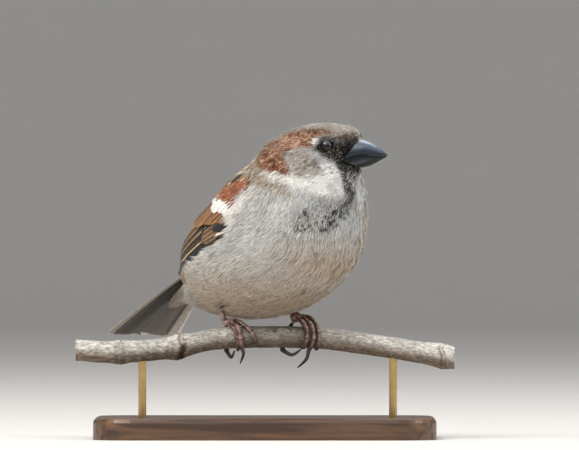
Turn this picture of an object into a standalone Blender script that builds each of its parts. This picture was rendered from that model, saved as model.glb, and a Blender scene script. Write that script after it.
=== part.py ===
"""A male house sparrow, life size, on a cut length of branch held by a display stand.

The row frame has +X along the branch, +Y behind the bird and +Z up, with its origin under the
middle of the stand's base. The bird itself is built in its own frame: x forward, y to its left,
z up, in millimetres, from the branch's axis between its feet. It is then turned to face half
right and set on the branch.
"""

import math

import bmesh
import bpy
import numpy as np
from mathutils import Matrix, Vector

MM = 0.001
GAP = 0.3  # millimetres between neighbouring pieces

# How the bird stands.
BIRD_TURN = -45.0  # degrees that its body is turned from the branch's direction
HEAD_TURN = 25.0  # degrees that its head is turned to its left
HEAD_PIVOT = 20.0  # the vertical axis that the head turns about, forward of the feet
PERCH_HEIGHT = 38.0  # the branch's axis above the floor, under the bird

# The plumage's cross-sections from tail to bill. Each runs from a point on the back to one on
# the belly, both (forward, up), and has a half width and a shift of its widest place towards
# the back (-1 the belly, 1 the back).
SECTIONS = {
    "tail_coverts": ((-44.0, 18.9), (-48.6, 11.0), 4.2, 0.0),
    "tail_root": ((-35.0, 28.0), (-40.0, 12.4), 8.5, 0.0),
    "vent": ((-28.5, 36.4), (-31.0, 9.9), 15.0, 0.0),
    "rump": ((-23.5, 43.0), (-17.5, 7.6), 21.0, 0.0),
    "belly": ((-18.5, 48.5), (2.0, 7.4), 25.0, 0.0),
    "flank": ((-12.5, 54.0), (21.5, 13.0), 26.5, 0.0),
    "breast": ((-6.0, 59.0), (37.5, 25.0), 26.5, 0.05),
    "bosom": ((-0.5, 63.5), (44.0, 38.0), 25.0, 0.1),
    "collar": ((3.6, 67.8), (45.0, 49.5), 22.0, 0.1),
    "nape": ((8.3, 73.5), (44.0, 57.5), 17.5, 0.05),
    "cheek": ((15.5, 77.6), (43.2, 61.2), 12.8, 0.0),
    "crown": ((26.5, 80.0), (42.6, 62.6), 9.4, 0.1),
    "brow": ((37.6, 78.7), (43.0, 63.2), 7.4, 0.1),
    "bill_base": ((43.3, 74.7), (44.0, 63.6), 4.7, 0.0),
}
NAMES = list(SECTIONS)
NECK_CUTS = (NAMES.index("collar") + 0.1, NAMES.index("nape") + 0.4)
BODY_SIDES = 22  # points round each cross-section
RINGS_PER_SPAN = 3
FACE_TAPER, FACE_REACH = 0.62, 7.0  # how much the face narrows to the bill, and over how far

# Bill: the ridge, the line where the halves meet, and the keel, from the face to the tip.
BILL_RIDGE = ((43.4, 73.9), (47.0, 72.6), (50.6, 70.5), (53.6, 68.2))
BILL_MEETING = ((37.6, 65.9), (43.5, 67.9), (48.5, 68.0), (53.4, 67.8))
BILL_KEEL = ((44.0, 63.3), (47.0, 64.1), (50.2, 65.7), (53.2, 67.4))
BILL_HALF_WIDTH = (4.9, 3.9, 2.3, 0.25)

EYE_FORWARD, EYE_UP, EYE_OUT, EYE_RADIUS = 32.2, 71.6, 7.9, 2.9

# The folded wing as a sheet: three lines from the shoulder to the tip, along its upper edge,
# its middle and its lower edge, for the bird's right side (forward, left, up).
WING_UPPER = (
    (14.7, -15.5, 65.2),
    (0.5, -14.2, 57.4),
    (-12.5, -13.5, 48.6),
    (-26.4, -12.5, 37.4),
    (-33.4, -10.0, 25.9),
)
WING_MIDDLE = (
    (20.0, -20.8, 58.0),
    (8.8, -22.4, 51.2),
    (-6.0, -22.4, 42.6),
    (-22.0, -19.3, 32.8),
    (-34.2, -11.2, 24.5),
)
WING_LOWER = (
    (20.8, -22.8, 50.8),
    (12.5, -24.4, 41.5),
    (-1.0, -25.0, 31.5),
    (-18.5, -21.4, 24.6),
    (-34.6, -12.0, 23.2),
)
# Each layer of the wing: its start and end along the sheet, its upper and lower limit across
# it, how far its middle stands off the sheet, and its thickness.
WING_LAYERS = {
    "coverts": (0.03, 0.46, 0.0, 1.0, 2.5, 0.8),
    "secondaries": (0.14, 0.84, 0.0, 0.80, 1.25, 0.7),
    "primaries": (0.3, 0.98, 0.34, 1.0, 0.0, 0.6),
}

TAIL_ROOT = (-19.0, 35.7)
TAIL_SLOPE = 36.5  # degrees below level
TAIL_LENGTH, TAIL_HIDDEN, TAIL_NOTCH = 59.0, 21.0, 1.4
TAIL_FAN = 13.6  # degrees from the middle to the outermost feather's shaft
TAIL_FEATHERS, TAIL_FEATHER_WIDTH = 12, 9.5
TAIL_THICKNESS = 1.1
TAIL_ROOF = 1.0  # how far the outer feathers drop below the middle pair

# Feet. The ball of each foot and the top of its bare shank are (along the branch, back, up)
# from the branch's axis at the bird's middle. Toes and claws grip the branch, so their joints
# are (place along it, degrees round it, clear of it): 0 is its top and 90 its front.
TARSUS_RADIUS, TOE_RADIUS, CLAW_RADIUS = 0.95, 0.75, 0.58
FEET = {
    "right": {
        "ball": (-13.8, 0.0, 5.55),
        "ball_size": (1.9, 1.3, 1.3),
        "shank": (-18.9, 3.2, 16.0),
        "inner": ((-10.7, 6, 2.3), (-8.4, 28, 1.7), (-5.1, 64, 1.1), (-3.9, 94, 1.1)),
        "middle": ((-11.8, 30, 1.1), (-9.8, 57, 1.35), (-8.9, 95, 1.1), (-8.6, 126, 1.1)),
        "outer": ((-14.0, 30, 1.1), (-12.2, 57, 1.3), (-11.2, 92, 1.1), (-10.9, 124, 1.1)),
        "hind": ((-14.4, -30, 1.1), (-14.8, -75, 1.3), (-14.6, -120, 1.1), (-14.2, -156, 1.1)),
        "inner_claw": ((-4.1, 112, 1.3), (-5.3, 123, 0.8)),
        "middle_claw": ((-7.8, 151, 2.9), (-9.1, 171, 6.0)),
        "outer_claw": ((-10.7, 145, 1.5), (-10.4, 160, 1.2)),
        "hind_claw": ((-12.6, -183, 3.0), (-12.0, -207, 1.5)),
    },
    "left": {
        "ball": (12.2, -0.3, 7.6),
        "ball_size": (1.4, 1.4, 1.4),
        "shank": (4.8, 6.6, 14.6),
        "inner": ((13.4, 24, 2.7), (15.6, 52, 1.5), (15.7, 90, 1.1), (15.1, 121, 1.1)),
        "middle": ((14.6, 8, 3.3), (17.6, 50, 1.9), (18.2, 94, 1.1), (16.9, 140, 1.1)),
        "outer": ((14.3, -14, 4.0), (17.9, 18, 2.9), (20.1, 66, 1.2), (19.9, 118, 1.1)),
        "hind": ((10.8, -30, 2.3), (8.6, -75, 1.3), (6.6, -118, 1.1), (6.9, -153, 1.1)),
        "inner_claw": ((14.5, 137, 1.2), (13.6, 149, 0.8)),
        "middle_claw": ((15.7, 165, 3.2), (12.6, 177, 6.9)),
        "outer_claw": ((19.4, 138, 1.3), (18.6, 152, 0.9)),
        "hind_claw": ((9.3, -183, 2.2), (12.2, -193, 1.1)),
    },
}

# The branch: its axis (along, back, up) from its left end to its right, and its leaf nodes.
PERCH_LINE = (
    (-71.0, 0.6, -4.9),
    (-55.0, -0.4, -5.7),
    (-34.0, 0.3, -3.9),
    (-18.0, 0.0, -0.7),
    (0.0, 0.0, 0.0),
    (20.0, 0.0, -0.4),
    (42.0, -0.5, -3.2),
    (71.0, 0.5, -7.9),
)
PERCH_RADIUS = 4.15
PERCH_NODES = ((-54.0, 0.55, 3.0), (-32.5, 0.85, 3.4), (66.0, 0.8, 4.0))  # place, swell, length
PERCH_SIDES, PERCH_RINGS = 14, 27

BASE_LENGTH, BASE_DEPTH, BASE_THICKNESS, BASE_CORNER = 128.0, 82.0, 8.0, 14.0
ROD_RADIUS, ROD_PLACES = 1.5, (-46.0, 48.0)
ROD_SOCKET = 4.0  # how deep each rod stands in the base
ROD_IN_PERCH = 3.0  # how deep it goes into the branch


# ---------------------------------------------------------------- lines and frames
def along(points, t):
    """Points on a smooth (Catmull-Rom) line through points, at t counted in points from 0."""
    p = np.asarray(points, float)
    if p.ndim == 1:
        p = p[:, None]
    p = np.vstack([2 * p[0] - p[1], p, 2 * p[-1] - p[-2]])
    t = np.clip(np.asarray(t, float), 0, len(p) - 3)
    i = np.minimum(t.astype(int), len(p) - 4)
    f = (t - i)[..., None]
    a, b, c, d = p[i], p[i + 1], p[i + 2], p[i + 3]
    return 0.5 * (2 * b + (c - a) * f + (2 * a - 5 * b + 4 * c - d) * f**2 + (3 * b - a - 3 * c + d) * f**3)


def smooth_step(x):
    x = np.clip(x, 0, 1)
    return x * x * (3 - 2 * x)


def turn_head(points, share):
    """points turned about the head's vertical axis by a share of the head's turn."""
    angle = np.radians(HEAD_TURN) * np.asarray(share)
    x, y = points[..., 0] - HEAD_PIVOT, points[..., 1]
    c, s = np.cos(angle), np.sin(angle)
    return np.stack([HEAD_PIVOT + x * c - y * s, x * s + y * c, points[..., 2]], -1)


def head_share(t):
    first, last = NAMES.index("bosom") - 0.5, NAMES.index("cheek")
    return smooth_step((t - first) / (last - first))


def behind_bill(points):
    """How far points of the straight bird stand behind the bill's two rear faces."""
    corner = np.array(BILL_MEETING[0])
    off = points[..., [0, 2]] - corner
    depths = []
    for end, side in ((BILL_RIDGE[0], 1), (BILL_KEEL[0], -1)):
        run = (np.array(end) - corner) / np.linalg.norm(np.array(end) - corner)
        depths.append(off @ (side * np.array([-run[1], run[0]])))
    return np.maximum(*depths)


def body_ring(t, push=0.0):
    """The cross-section at t as points going round from the belly, moved along its own plane's
    normal by push."""
    rows = [np.hstack([back, belly, width, shift]) for back, belly, width, shift in SECTIONS.values()]
    row = along(rows, t)
    back, belly, half_width, shift = row[0:2], row[2:4], row[4], row[5]
    a = np.linspace(0, 2 * math.pi, BODY_SIDES, endpoint=False)
    height = -np.cos(a) + shift * np.sin(a) ** 2
    middle, half = (back + belly) / 2, (back - belly) / 2
    normal = np.array([half[1], 0, -half[0]]) / np.linalg.norm(half)
    side = half_width * np.sin(a)
    ring = np.stack([middle[0] + half[0] * height, side, middle[1] + half[1] * height], -1)
    ring[:, 1] *= 1 - (1 - FACE_TAPER) * (1 - smooth_step(behind_bill(ring) / FACE_REACH))
    return turn_head(ring + normal * push, head_share(t))


# ---------------------------------------------------------------- meshes
def add_object(name, mesh, material=None, parent=None):
    obj = bpy.data.objects.new(name, mesh)
    bpy.context.scene.collection.objects.link(obj)
    if material:
        mesh.materials.append(material)
    obj.parent = parent
    return obj


def mesh_from(name, points, faces):
    """A smooth-shaded mesh from millimetre points, with its faces pointing out."""
    mesh = bpy.data.meshes.new(name)
    mesh.from_pydata([tuple(p * MM) for p in np.asarray(points, float)], [], faces)
    bm = bmesh.new()
    bm.from_mesh(mesh)
    bmesh.ops.recalc_face_normals(bm, faces=bm.faces)
    bm.to_mesh(mesh)
    bm.free()
    mesh.shade_smooth()
    return mesh


def tube_mesh(name, rings):
    """A closed mesh through rings of equally many points, with a flat cap at each end."""
    count = len(rings[0])
    faces = [
        (r * count + k, r * count + (k + 1) % count, (r + 1) * count + (k + 1) % count, (r + 1) * count + k)
        for r in range(len(rings) - 1)
        for k in range(count)
    ]
    faces.append(tuple(range(count)))
    faces.append(tuple((len(rings) - 1) * count + k for k in range(count)))
    return mesh_from(name, np.vstack(rings), faces)


def sheet_mesh(name, grid):
    """An open mesh over a grid of points."""
    rows, columns = grid.shape[:2]
    faces = [
        (r * columns + c, r * columns + c + 1, (r + 1) * columns + c + 1, (r + 1) * columns + c)
        for r in range(rows - 1)
        for c in range(columns - 1)
    ]
    mesh = bpy.data.meshes.new(name)
    mesh.from_pydata([tuple(p * MM) for p in grid.reshape(-1, 3)], [], faces)
    return mesh


def thicken(obj, thickness):
    solid = obj.modifiers.new("thickness", "SOLIDIFY")
    solid.thickness = thickness * MM
    solid.offset = 0.0
    return obj


def cut_from(obj, cutter):
    cutter.hide_render = True
    cutter.display_type = "WIRE"
    cut = obj.modifiers.new("cut_" + cutter.name, "BOOLEAN")
    cut.operation = "DIFFERENCE"
    cut.object = cutter


def path_tube(name, points, radii, sides, material=None, parent=None):
    """A closed tube along points, with a radius at each, as a bevelled curve."""
    curve = bpy.data.curves.new(name, "CURVE")
    curve.dimensions = "3D"
    curve.bevel_depth = MM
    curve.bevel_resolution = max(0, sides // 2 - 2)
    curve.use_fill_caps = True
    spline = curve.splines.new("POLY")
    spline.points.add(len(points) - 1)
    for point, at, radius in zip(spline.points, points, radii):
        point.co = (*(np.asarray(at) * MM), 1.0)
        point.radius = radius
    return add_object(name, curve, material, parent)


def ball(name, centre, radius, segments, rings, material=None, parent=None):
    mesh = bpy.data.meshes.new(name)
    bm = bmesh.new()
    bmesh.ops.create_uvsphere(bm, u_segments=segments, v_segments=rings, radius=radius * MM)
    bmesh.ops.translate(bm, verts=bm.verts, vec=Vector(centre) * MM)
    bm.to_mesh(mesh)
    bm.free()
    mesh.shade_smooth()
    return add_object(name, mesh, material, parent)


def cylinder(name, centre, radius, low, high, segments, material=None):
    mesh = bpy.data.meshes.new(name)
    bm = bmesh.new()
    bmesh.ops.create_cone(
        bm,
        cap_ends=True,
        segments=segments,
        radius1=radius * MM,
        radius2=radius * MM,
        depth=(high - low) * MM,
        matrix=Matrix.Translation(Vector((centre[0], centre[1], (low + high) / 2)) * MM),
    )
    bm.to_mesh(mesh)
    bm.free()
    mesh.shade_smooth()
    mesh.set_sharp_from_angle(angle=math.radians(40))
    return add_object(name, mesh, material)


def material(name, colour, roughness, metallic=0.0):
    made = bpy.data.materials.new(name)
    made.use_nodes = True
    shader = made.node_tree.nodes["Principled BSDF"]
    shader.inputs["Base Color"].default_value = (*colour, 1.0)
    shader.inputs["Roughness"].default_value = roughness
    shader.inputs["Metallic"].default_value = metallic
    return made


# ---------------------------------------------------------------- the bird
def body_part(name, start, end, plumage, bird):
    """The plumage between two places along the body. A cut end stands back half a gap."""
    last = len(NAMES) - 1
    count = max(2, round((end - start) * RINGS_PER_SPAN) + 1)
    rings = [body_ring(t) for t in np.linspace(start, end, count)]
    if start > 0:
        rings[0] = body_ring(start, GAP / 2)
    if end < last:
        rings[-1] = body_ring(end, -GAP / 2)
    return add_object(name, tube_mesh(name, rings), plumage, bird)


def bill_half(name, ridge, meeting, side_gap, horn, bird):
    """One mandible: arches that stand on the line where the halves meet and reach the ridge or
    the keel, held side_gap clear of the other half."""
    rings = []
    angles = np.linspace(0, math.pi, 10)
    for s in np.linspace(0, 1, 9):
        t = s * (len(ridge) - 1)
        top, foot = along(ridge, t), along(meeting, t) + (0, side_gap)
        half_width = along(BILL_HALF_WIDTH, t)[0]
        arch = np.sin(angles) ** 0.85
        rings.append(
            np.stack(
                [
                    foot[0] + (top[0] - foot[0]) * arch,
                    half_width * np.cos(angles),
                    foot[1] + (top[1] - foot[1]) * arch,
                ],
                -1,
            )
        )
    rings = [turn_head(ring, 1.0) for ring in rings]
    return add_object(name, tube_mesh(name, rings), horn, bird)


def bill_notch(bird):
    """The wedge taken out of the face, standing a gap behind the bill's two rear faces."""
    corner = np.array(BILL_MEETING[0])
    faces = []
    for end, side in ((BILL_RIDGE[0], 1), (BILL_KEEL[0], -1)):
        run = (np.array(end) - corner) / np.linalg.norm(np.array(end) - corner)
        back = side * np.array([-run[1], run[0]])
        faces.append((corner + (0, side * GAP / 2) + back * GAP, run))
    (first, up), (second, down) = faces
    reach = np.linalg.solve(np.stack([up, -down], -1), second - first)[0]
    apex = first + up * reach
    outline = [apex, apex + up * 30, apex + (30, 0), apex + down * 30]
    sides = [np.array([[x, y, z] for x, z in outline]) for y in (-16.0, 16.0)]
    mesh = tube_mesh("bill_notch", [turn_head(side, 1.0) for side in sides])
    return add_object("bill_notch", mesh, parent=bird)


def wing_point(p, q):
    """The wing sheet's point at p along it and q across it, for the bird's right side."""
    last = len(WING_UPPER) - 1
    upper, middle, lower = (along(line, p * last) for line in (WING_UPPER, WING_MIDDLE, WING_LOWER))
    # A parabola through the three lines at q = 0, 1/2 and 1.
    return upper * (1 - q) * (1 - 2 * q) + middle * 4 * q * (1 - q) + lower * q * (2 * q - 1)


def wing_grid(limits, stand_off, rows=9, columns=7):
    """The points of one wing layer, moved out along the sheet's normal. Its front and rear ends
    are rounded off."""
    start, end, top, bottom = limits
    grid = np.zeros((rows, columns, 3))
    for i, across in enumerate(np.linspace(-1, 1, columns)):
        rounding = 0.10 * (1 - math.sqrt(max(0.0, 1 - across**4)))
        for k, part in enumerate(np.linspace(0, 1, rows)):
            p = start + rounding + (end - start - 2 * rounding) * part
            q = top + (bottom - top) * (across + 1) / 2
            step = 0.004
            along_p = wing_point(p + step, q) - wing_point(p - step, q)
            along_q = wing_point(p, q + step) - wing_point(p, q - step)
            out = np.cross(along_p, along_q)
            grid[k, i] = wing_point(p, q) + out / np.linalg.norm(out) * stand_off
    return grid


def mirrored(grid):
    return (grid * (1, -1, 1))[:, ::-1]


def add_wings(trunk, neck, feather, bird):
    for side, flip in (("right", lambda g: g), ("left", mirrored)):
        for layer, (*limits, stand_off, thickness) in WING_LAYERS.items():
            name = f"wing_{side}_{layer}"
            grid = flip(wing_grid(limits, stand_off))
            thicken(add_object(name, sheet_mesh(name, grid), feather, bird), thickness)
        # The bed that the whole folded wing lies in.
        reach = (0.0, 1.0, -0.04, 1.04)
        grid = flip(wing_grid(reach, 1.4))
        bed = add_object(f"wing_{side}_bed", sheet_mesh("wing_bed", grid), parent=bird)
        thicken(bed, 4.5)
        cut_from(trunk, bed)
        cut_from(neck, bed)


def tail_grid(start, end=TAIL_LENGTH, clear=0.0, rows=4, steps=3):
    """The fanned tail as a sheet from start to end along it, clear wider on each side, with a
    rounded tip for each feather."""
    slope = math.radians(TAIL_SLOPE)
    root = np.array([TAIL_ROOT[0], 0, TAIL_ROOT[1]])
    back = np.array([-math.cos(slope), 0, -math.sin(slope)])
    up = np.array([-math.sin(slope), 0, math.cos(slope)])
    left = np.array([0, 1, 0])
    columns = TAIL_FEATHERS * steps + 1
    across = np.linspace(-1, 1, columns)
    half_tip = TAIL_LENGTH * math.sin(math.radians(TAIL_FAN)) + TAIL_FEATHER_WIDTH / 2
    tip_round = np.abs(np.sin(np.arange(columns) / steps * math.pi)) ** 0.5
    edge = TAIL_LENGTH - TAIL_NOTCH * (1 - np.abs(across)) - 1.6 * (1 - tip_round)
    edge -= 3.0 * np.clip((np.abs(across) - 0.86) / 0.14, 0, 1) ** 2
    edge = np.minimum(edge, end)
    grid = np.zeros((rows, columns, 3))
    for k, part in enumerate(np.linspace(0, 1, rows)):
        reach = (start + (edge - start) * part)[:, None]
        side = across[:, None]
        half_width = 1.5 + (half_tip - 1.5) * (reach / TAIL_LENGTH) ** 1.45 + clear
        drop = TAIL_ROOF * side**2 * reach / TAIL_LENGTH
        grid[k] = root + reach * back + side * half_width * left - drop * up
    return grid


def add_tail(trunk, feather, bird):
    tail = add_object("tail", sheet_mesh("tail", tail_grid(TAIL_HIDDEN)), feather, bird)
    thicken(tail, TAIL_THICKNESS)
    grid = tail_grid(TAIL_HIDDEN - GAP, TAIL_LENGTH - 14, 2 * GAP, steps=1)
    slot = add_object("tail_slot", sheet_mesh("tail_slot", grid), parent=bird)
    thicken(slot, TAIL_THICKNESS + 2.5 * GAP)
    cut_from(trunk, slot)


def eye_place(side):
    """side is 1 on the bird's left and -1 on its right."""
    return turn_head(np.array([EYE_FORWARD, side * EYE_OUT, EYE_UP]), 1.0)


def add_head(plumage, horn, eye, bird):
    last = len(NAMES) - 1
    head = body_part("head", NECK_CUTS[1], last, plumage, bird)
    cut_from(head, bill_notch(bird))
    for side, name in ((1, "left"), (-1, "right")):
        ball(f"eye_{name}", eye_place(side), EYE_RADIUS, 14, 9, eye, bird)
        cut_from(head, ball(f"socket_{name}", eye_place(side), EYE_RADIUS + GAP, 14, 9, parent=bird))
    bill_half("bill_upper", BILL_RIDGE, BILL_MEETING, GAP / 2, horn, bird)
    bill_half("bill_lower", BILL_KEEL, BILL_MEETING, -GAP / 2, horn, bird)


# ---------------------------------------------------------------- branch and feet
def perch_axis(x):
    """The branch's axis at x along it, by its smooth line."""
    t = np.interp(x, [p[0] for p in PERCH_LINE], range(len(PERCH_LINE)))
    return along(PERCH_LINE, t) + (0, 0, PERCH_HEIGHT)


def perch_radius(x):
    return PERCH_RADIUS + sum(
        swell * math.exp(-(((x - place) / length) ** 2)) for place, swell, length in PERCH_NODES
    )


def perch_point(x, degrees, clear):
    """A point round the branch: 0 is its top, 90 its front, clear above its surface."""
    angle = math.radians(degrees)
    reach = perch_radius(x) + clear
    return perch_axis(x) + reach * np.array([0, -math.sin(angle), math.cos(angle)])


def add_perch(bark):
    line = np.linspace(PERCH_LINE[0][0], PERCH_LINE[-1][0], PERCH_RINGS)
    turns = np.arange(PERCH_SIDES) * 360 / PERCH_SIDES
    rings = [np.array([perch_point(x, turn, 0.0) for turn in turns]) for x in line]
    perch = add_object("perch", tube_mesh("perch", rings), bark)
    for number, x in enumerate(ROD_PLACES):
        low = perch_axis(x)[2] - perch_radius(x)
        hole = cylinder(f"rod_hole_{number}", (x, 0), ROD_RADIUS + GAP, low - 5, low + ROD_IN_PERCH + GAP, 16)
        cut_from(perch, hole)
    return perch


def grip_line(joints, count):
    """A smooth line through joints given round the branch."""
    places = along(joints, np.linspace(0, len(joints) - 1, count))
    return np.array([perch_point(*place) for place in places])


def claw_line(toe, joints):
    """A claw's line: it leaves the toe straight on and curves round to its tip."""
    direction = (toe[-1] - toe[-2]) / np.linalg.norm(toe[-1] - toe[-2])
    start = toe[-1] + direction * GAP
    points = [start, start + direction * CLAW_RADIUS, *(perch_point(*joint) for joint in joints)]
    return along(points, np.array([0, 1, 1.5, 2, 2.5, 3]))


def add_foot(side, foot, skin, claw, trunk):
    centre = np.array(foot["ball"]) + (0, 0, PERCH_HEIGHT)
    pad = ball(f"foot_{side}", (0, 0, 0), 1 / MM, 12, 8, skin)
    for vertex in pad.data.vertices:
        vertex.co = (vertex.co * Vector(foot["ball_size"]) + Vector(centre)) * MM
    top = np.array(foot["shank"]) + (0, 0, PERCH_HEIGHT)
    up = (top - centre) / np.linalg.norm(top - centre)
    start = centre + up * (ellipsoid_reach(foot["ball_size"], up) + GAP)
    shank = [start + (top - start) * s for s in np.linspace(0, 1, 5)]
    radii = np.array([1.2, 1.0, 0.95, 1.0, 1.15]) * TARSUS_RADIUS
    path_tube(f"tarsus_{side}", shank, radii, 10, skin)
    well = [*shank[:-1], top + up * GAP]
    cut_from(trunk, solid_copy(f"tarsus_well_{side}", well, radii + 1.2 * GAP))
    for name in ("inner", "middle", "outer", "hind"):
        toe = grip_line(foot[name], 9)
        radii = TOE_RADIUS * (1.0 + 0.12 * np.cos(np.linspace(0, 6 * math.pi, len(toe))))
        path_tube(f"toe_{side}_{name}", toe, radii, 8, skin)
        line = claw_line(toe, foot[name + "_claw"])
        radii = CLAW_RADIUS * np.array([1, 0.97, 0.9, 0.76, 0.6, 0.42])
        path_tube(f"claw_{side}_{name}", line, radii, 8, claw)


def ellipsoid_reach(sizes, direction):
    """How far an ellipsoid reaches from its centre in a direction."""
    return 1 / np.linalg.norm(np.asarray(direction) / sizes)


def solid_copy(name, points, radii):
    """A tube as a mesh, because a Boolean takes no curve."""
    rings = []
    for k, at in enumerate(points):
        direction = Vector(points[min(k + 1, len(points) - 1)] - points[max(k - 1, 0)]).normalized()
        turn = direction.to_track_quat("Z", "Y").to_matrix()
        rings.append(
            np.array(
                [
                    at + np.array(turn @ Vector((radii[k] * math.cos(a), radii[k] * math.sin(a), 0)))
                    for a in np.linspace(0, 2 * math.pi, 12, endpoint=False)
                ]
            )
        )
    return add_object(name, tube_mesh(name, rings))


# ---------------------------------------------------------------- the stand
def add_stand(wood, brass):
    mesh = bpy.data.meshes.new("stand_base")
    bm = bmesh.new()
    bmesh.ops.create_cube(bm, size=1.0)
    bmesh.ops.scale(bm, vec=Vector((BASE_LENGTH, BASE_DEPTH, BASE_THICKNESS)) * MM, verts=bm.verts)
    bmesh.ops.translate(bm, vec=(0, 0, BASE_THICKNESS / 2 * MM), verts=bm.verts)
    upright = [e for e in bm.edges if abs(e.verts[0].co.z - e.verts[1].co.z) > MM]
    bmesh.ops.bevel(bm, geom=upright, offset=BASE_CORNER * MM, segments=7, profile=0.5, affect="EDGES")
    top = BASE_THICKNESS * MM
    rim = [e for e in bm.edges if all(abs(v.co.z - top) < 1e-6 for v in e.verts)]
    bmesh.ops.bevel(bm, geom=rim, offset=1.6 * MM, segments=2, profile=0.5, affect="EDGES")
    bm.to_mesh(mesh)
    bm.free()
    mesh.shade_smooth()
    mesh.set_sharp_from_angle(angle=math.radians(40))
    base = add_object("stand_base", mesh, wood)
    for name, x in zip(("left", "right"), ROD_PLACES):
        foot = BASE_THICKNESS - ROD_SOCKET
        head = perch_axis(x)[2] - perch_radius(x) + ROD_IN_PERCH
        cylinder(f"stand_rod_{name}", (x, 0), ROD_RADIUS, foot + GAP, head - GAP, 16, brass)
        cut_from(base, cylinder(f"socket_rod_{name}", (x, 0), ROD_RADIUS + GAP, foot, BASE_THICKNESS + 4, 16))


def main():
    for obj in list(bpy.data.objects):
        bpy.data.objects.remove(obj, do_unlink=True)

    plumage = material("plumage", (0.55, 0.49, 0.42), 0.9)
    feather = material("flight_feathers", (0.12, 0.07, 0.04), 0.7)
    horn = material("bill_horn", (0.05, 0.055, 0.065), 0.35)
    eye = material("eye", (0.012, 0.008, 0.006), 0.05)
    skin = material("leg_skin", (0.28, 0.14, 0.10), 0.55)
    claw = material("claw_horn", (0.05, 0.035, 0.03), 0.4)
    bark = material("bark", (0.42, 0.38, 0.33), 0.85)
    wood = material("base_wood", (0.16, 0.085, 0.045), 0.4)
    brass = material("rod_brass", (0.65, 0.47, 0.22), 0.3, 1.0)

    bird = bpy.data.objects.new("bird", None)
    bpy.context.scene.collection.objects.link(bird)
    bird.location = (0, 0, PERCH_HEIGHT * MM)
    bird.rotation_euler = (0, 0, math.radians(BIRD_TURN))

    trunk = body_part("trunk", 0, NECK_CUTS[0], plumage, bird)
    neck = body_part("neck", *NECK_CUTS, plumage, bird)
    add_head(plumage, horn, eye, bird)
    add_wings(trunk, neck, feather, bird)
    add_tail(trunk, feather, bird)
    add_perch(bark)
    for side, foot in FEET.items():
        add_foot(side, foot, skin, claw, trunk)
    add_stand(wood, brass)


main()
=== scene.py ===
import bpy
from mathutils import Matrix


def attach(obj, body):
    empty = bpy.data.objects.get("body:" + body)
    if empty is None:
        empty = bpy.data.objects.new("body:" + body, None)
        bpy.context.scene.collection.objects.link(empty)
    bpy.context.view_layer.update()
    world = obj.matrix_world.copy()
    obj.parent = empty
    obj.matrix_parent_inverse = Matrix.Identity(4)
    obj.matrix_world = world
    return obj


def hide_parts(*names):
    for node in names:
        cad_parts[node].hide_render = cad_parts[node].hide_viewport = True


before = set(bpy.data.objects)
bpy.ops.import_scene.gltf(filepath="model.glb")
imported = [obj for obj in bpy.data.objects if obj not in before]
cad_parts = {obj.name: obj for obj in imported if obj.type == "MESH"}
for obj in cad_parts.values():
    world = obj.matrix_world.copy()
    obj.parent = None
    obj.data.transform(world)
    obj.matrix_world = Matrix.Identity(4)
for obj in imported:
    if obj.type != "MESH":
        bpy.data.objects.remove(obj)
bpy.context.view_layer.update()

import math

import bpy
import mathutils
import numpy as np

# A male house sparrow on a cut branch. All sizes here are millimetres in the bird's own frame:
# f forward, l to its left, u up from the branch's axis. toWorld() turns them into the row frame.
mm = 0.001

body = {
    # back point (f, u), belly point (f, u), half width, shift of the widest place to the back
    "stations": (
        ((-44.0, 18.9), (-48.6, 11.0), 4.2, 0.0),
        ((-35.0, 28.0), (-40.0, 12.4), 8.5, 0.0),
        ((-28.5, 36.4), (-31.0, 9.9), 15.0, 0.0),
        ((-23.5, 43.0), (-17.5, 7.6), 21.0, 0.0),
        ((-18.5, 48.5), (2.0, 7.4), 25.0, 0.0),
        ((-12.5, 54.0), (21.5, 13.0), 26.5, 0.0),
        ((-6.0, 59.0), (37.5, 25.0), 26.5, 0.05),
        ((-0.5, 63.5), (44.0, 38.0), 25.0, 0.1),
        ((3.6, 67.8), (45.0, 49.5), 22.0, 0.1),
        ((8.3, 73.5), (44.0, 57.5), 17.5, 0.05),
        ((15.5, 77.6), (43.2, 61.2), 12.8, 0.0),
        ((26.5, 80.0), (42.6, 62.6), 9.4, 0.1),
        ((37.6, 78.7), (43.0, 63.2), 7.4, 0.1),
        ((43.3, 74.7), (44.0, 63.6), 4.7, 0.0),
    ),
    "heading": -45.0,
    "headTurn": 25.0, "headPivot": 20.0, "turnFrom": 6.5, "turnTo": 10.0,
    "perchHeight": 38.0,
    "faceTaper": 0.62, "faceReach": 7.0,  # the face narrows by this share over this reach to the bill
    "noseTaper": 0.55, "noseReach": 2.0,  # and once more past the bill's rear faces
    "faceStation": 13.0,  # bill and eyes turn with the head as this station does
}
bill = {
    "ridge": ((43.4, 73.9), (47.0, 72.6), (50.6, 70.5), (53.6, 68.2)),
    "meeting": ((37.6, 65.9), (43.5, 67.9), (48.5, 68.0), (53.4, 67.8)),
    "keel": ((44.0, 63.3), (47.0, 64.1), (50.2, 65.7), (53.2, 67.4)),
    "halfWidth": (4.9, 3.9, 2.3, 0.25),
    "rings": 48, "sides": 40, "gap": 0.04,
    "nostril": ((43.0, 1.0), (3.0, 0.7), (71.6, 0.6)),  # place and width along f, l and u
    "bill_upper": (0.050, 0.066, 0.100), "bill_lower": (0.010, 0.0115, 0.015),
    "ridgeHighlight": (0.42, 0.47, 0.55), "lowerHighlight": (0.060, 0.068, 0.082), "gapShade": (0.006, 0.006, 0.007),
}
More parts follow.
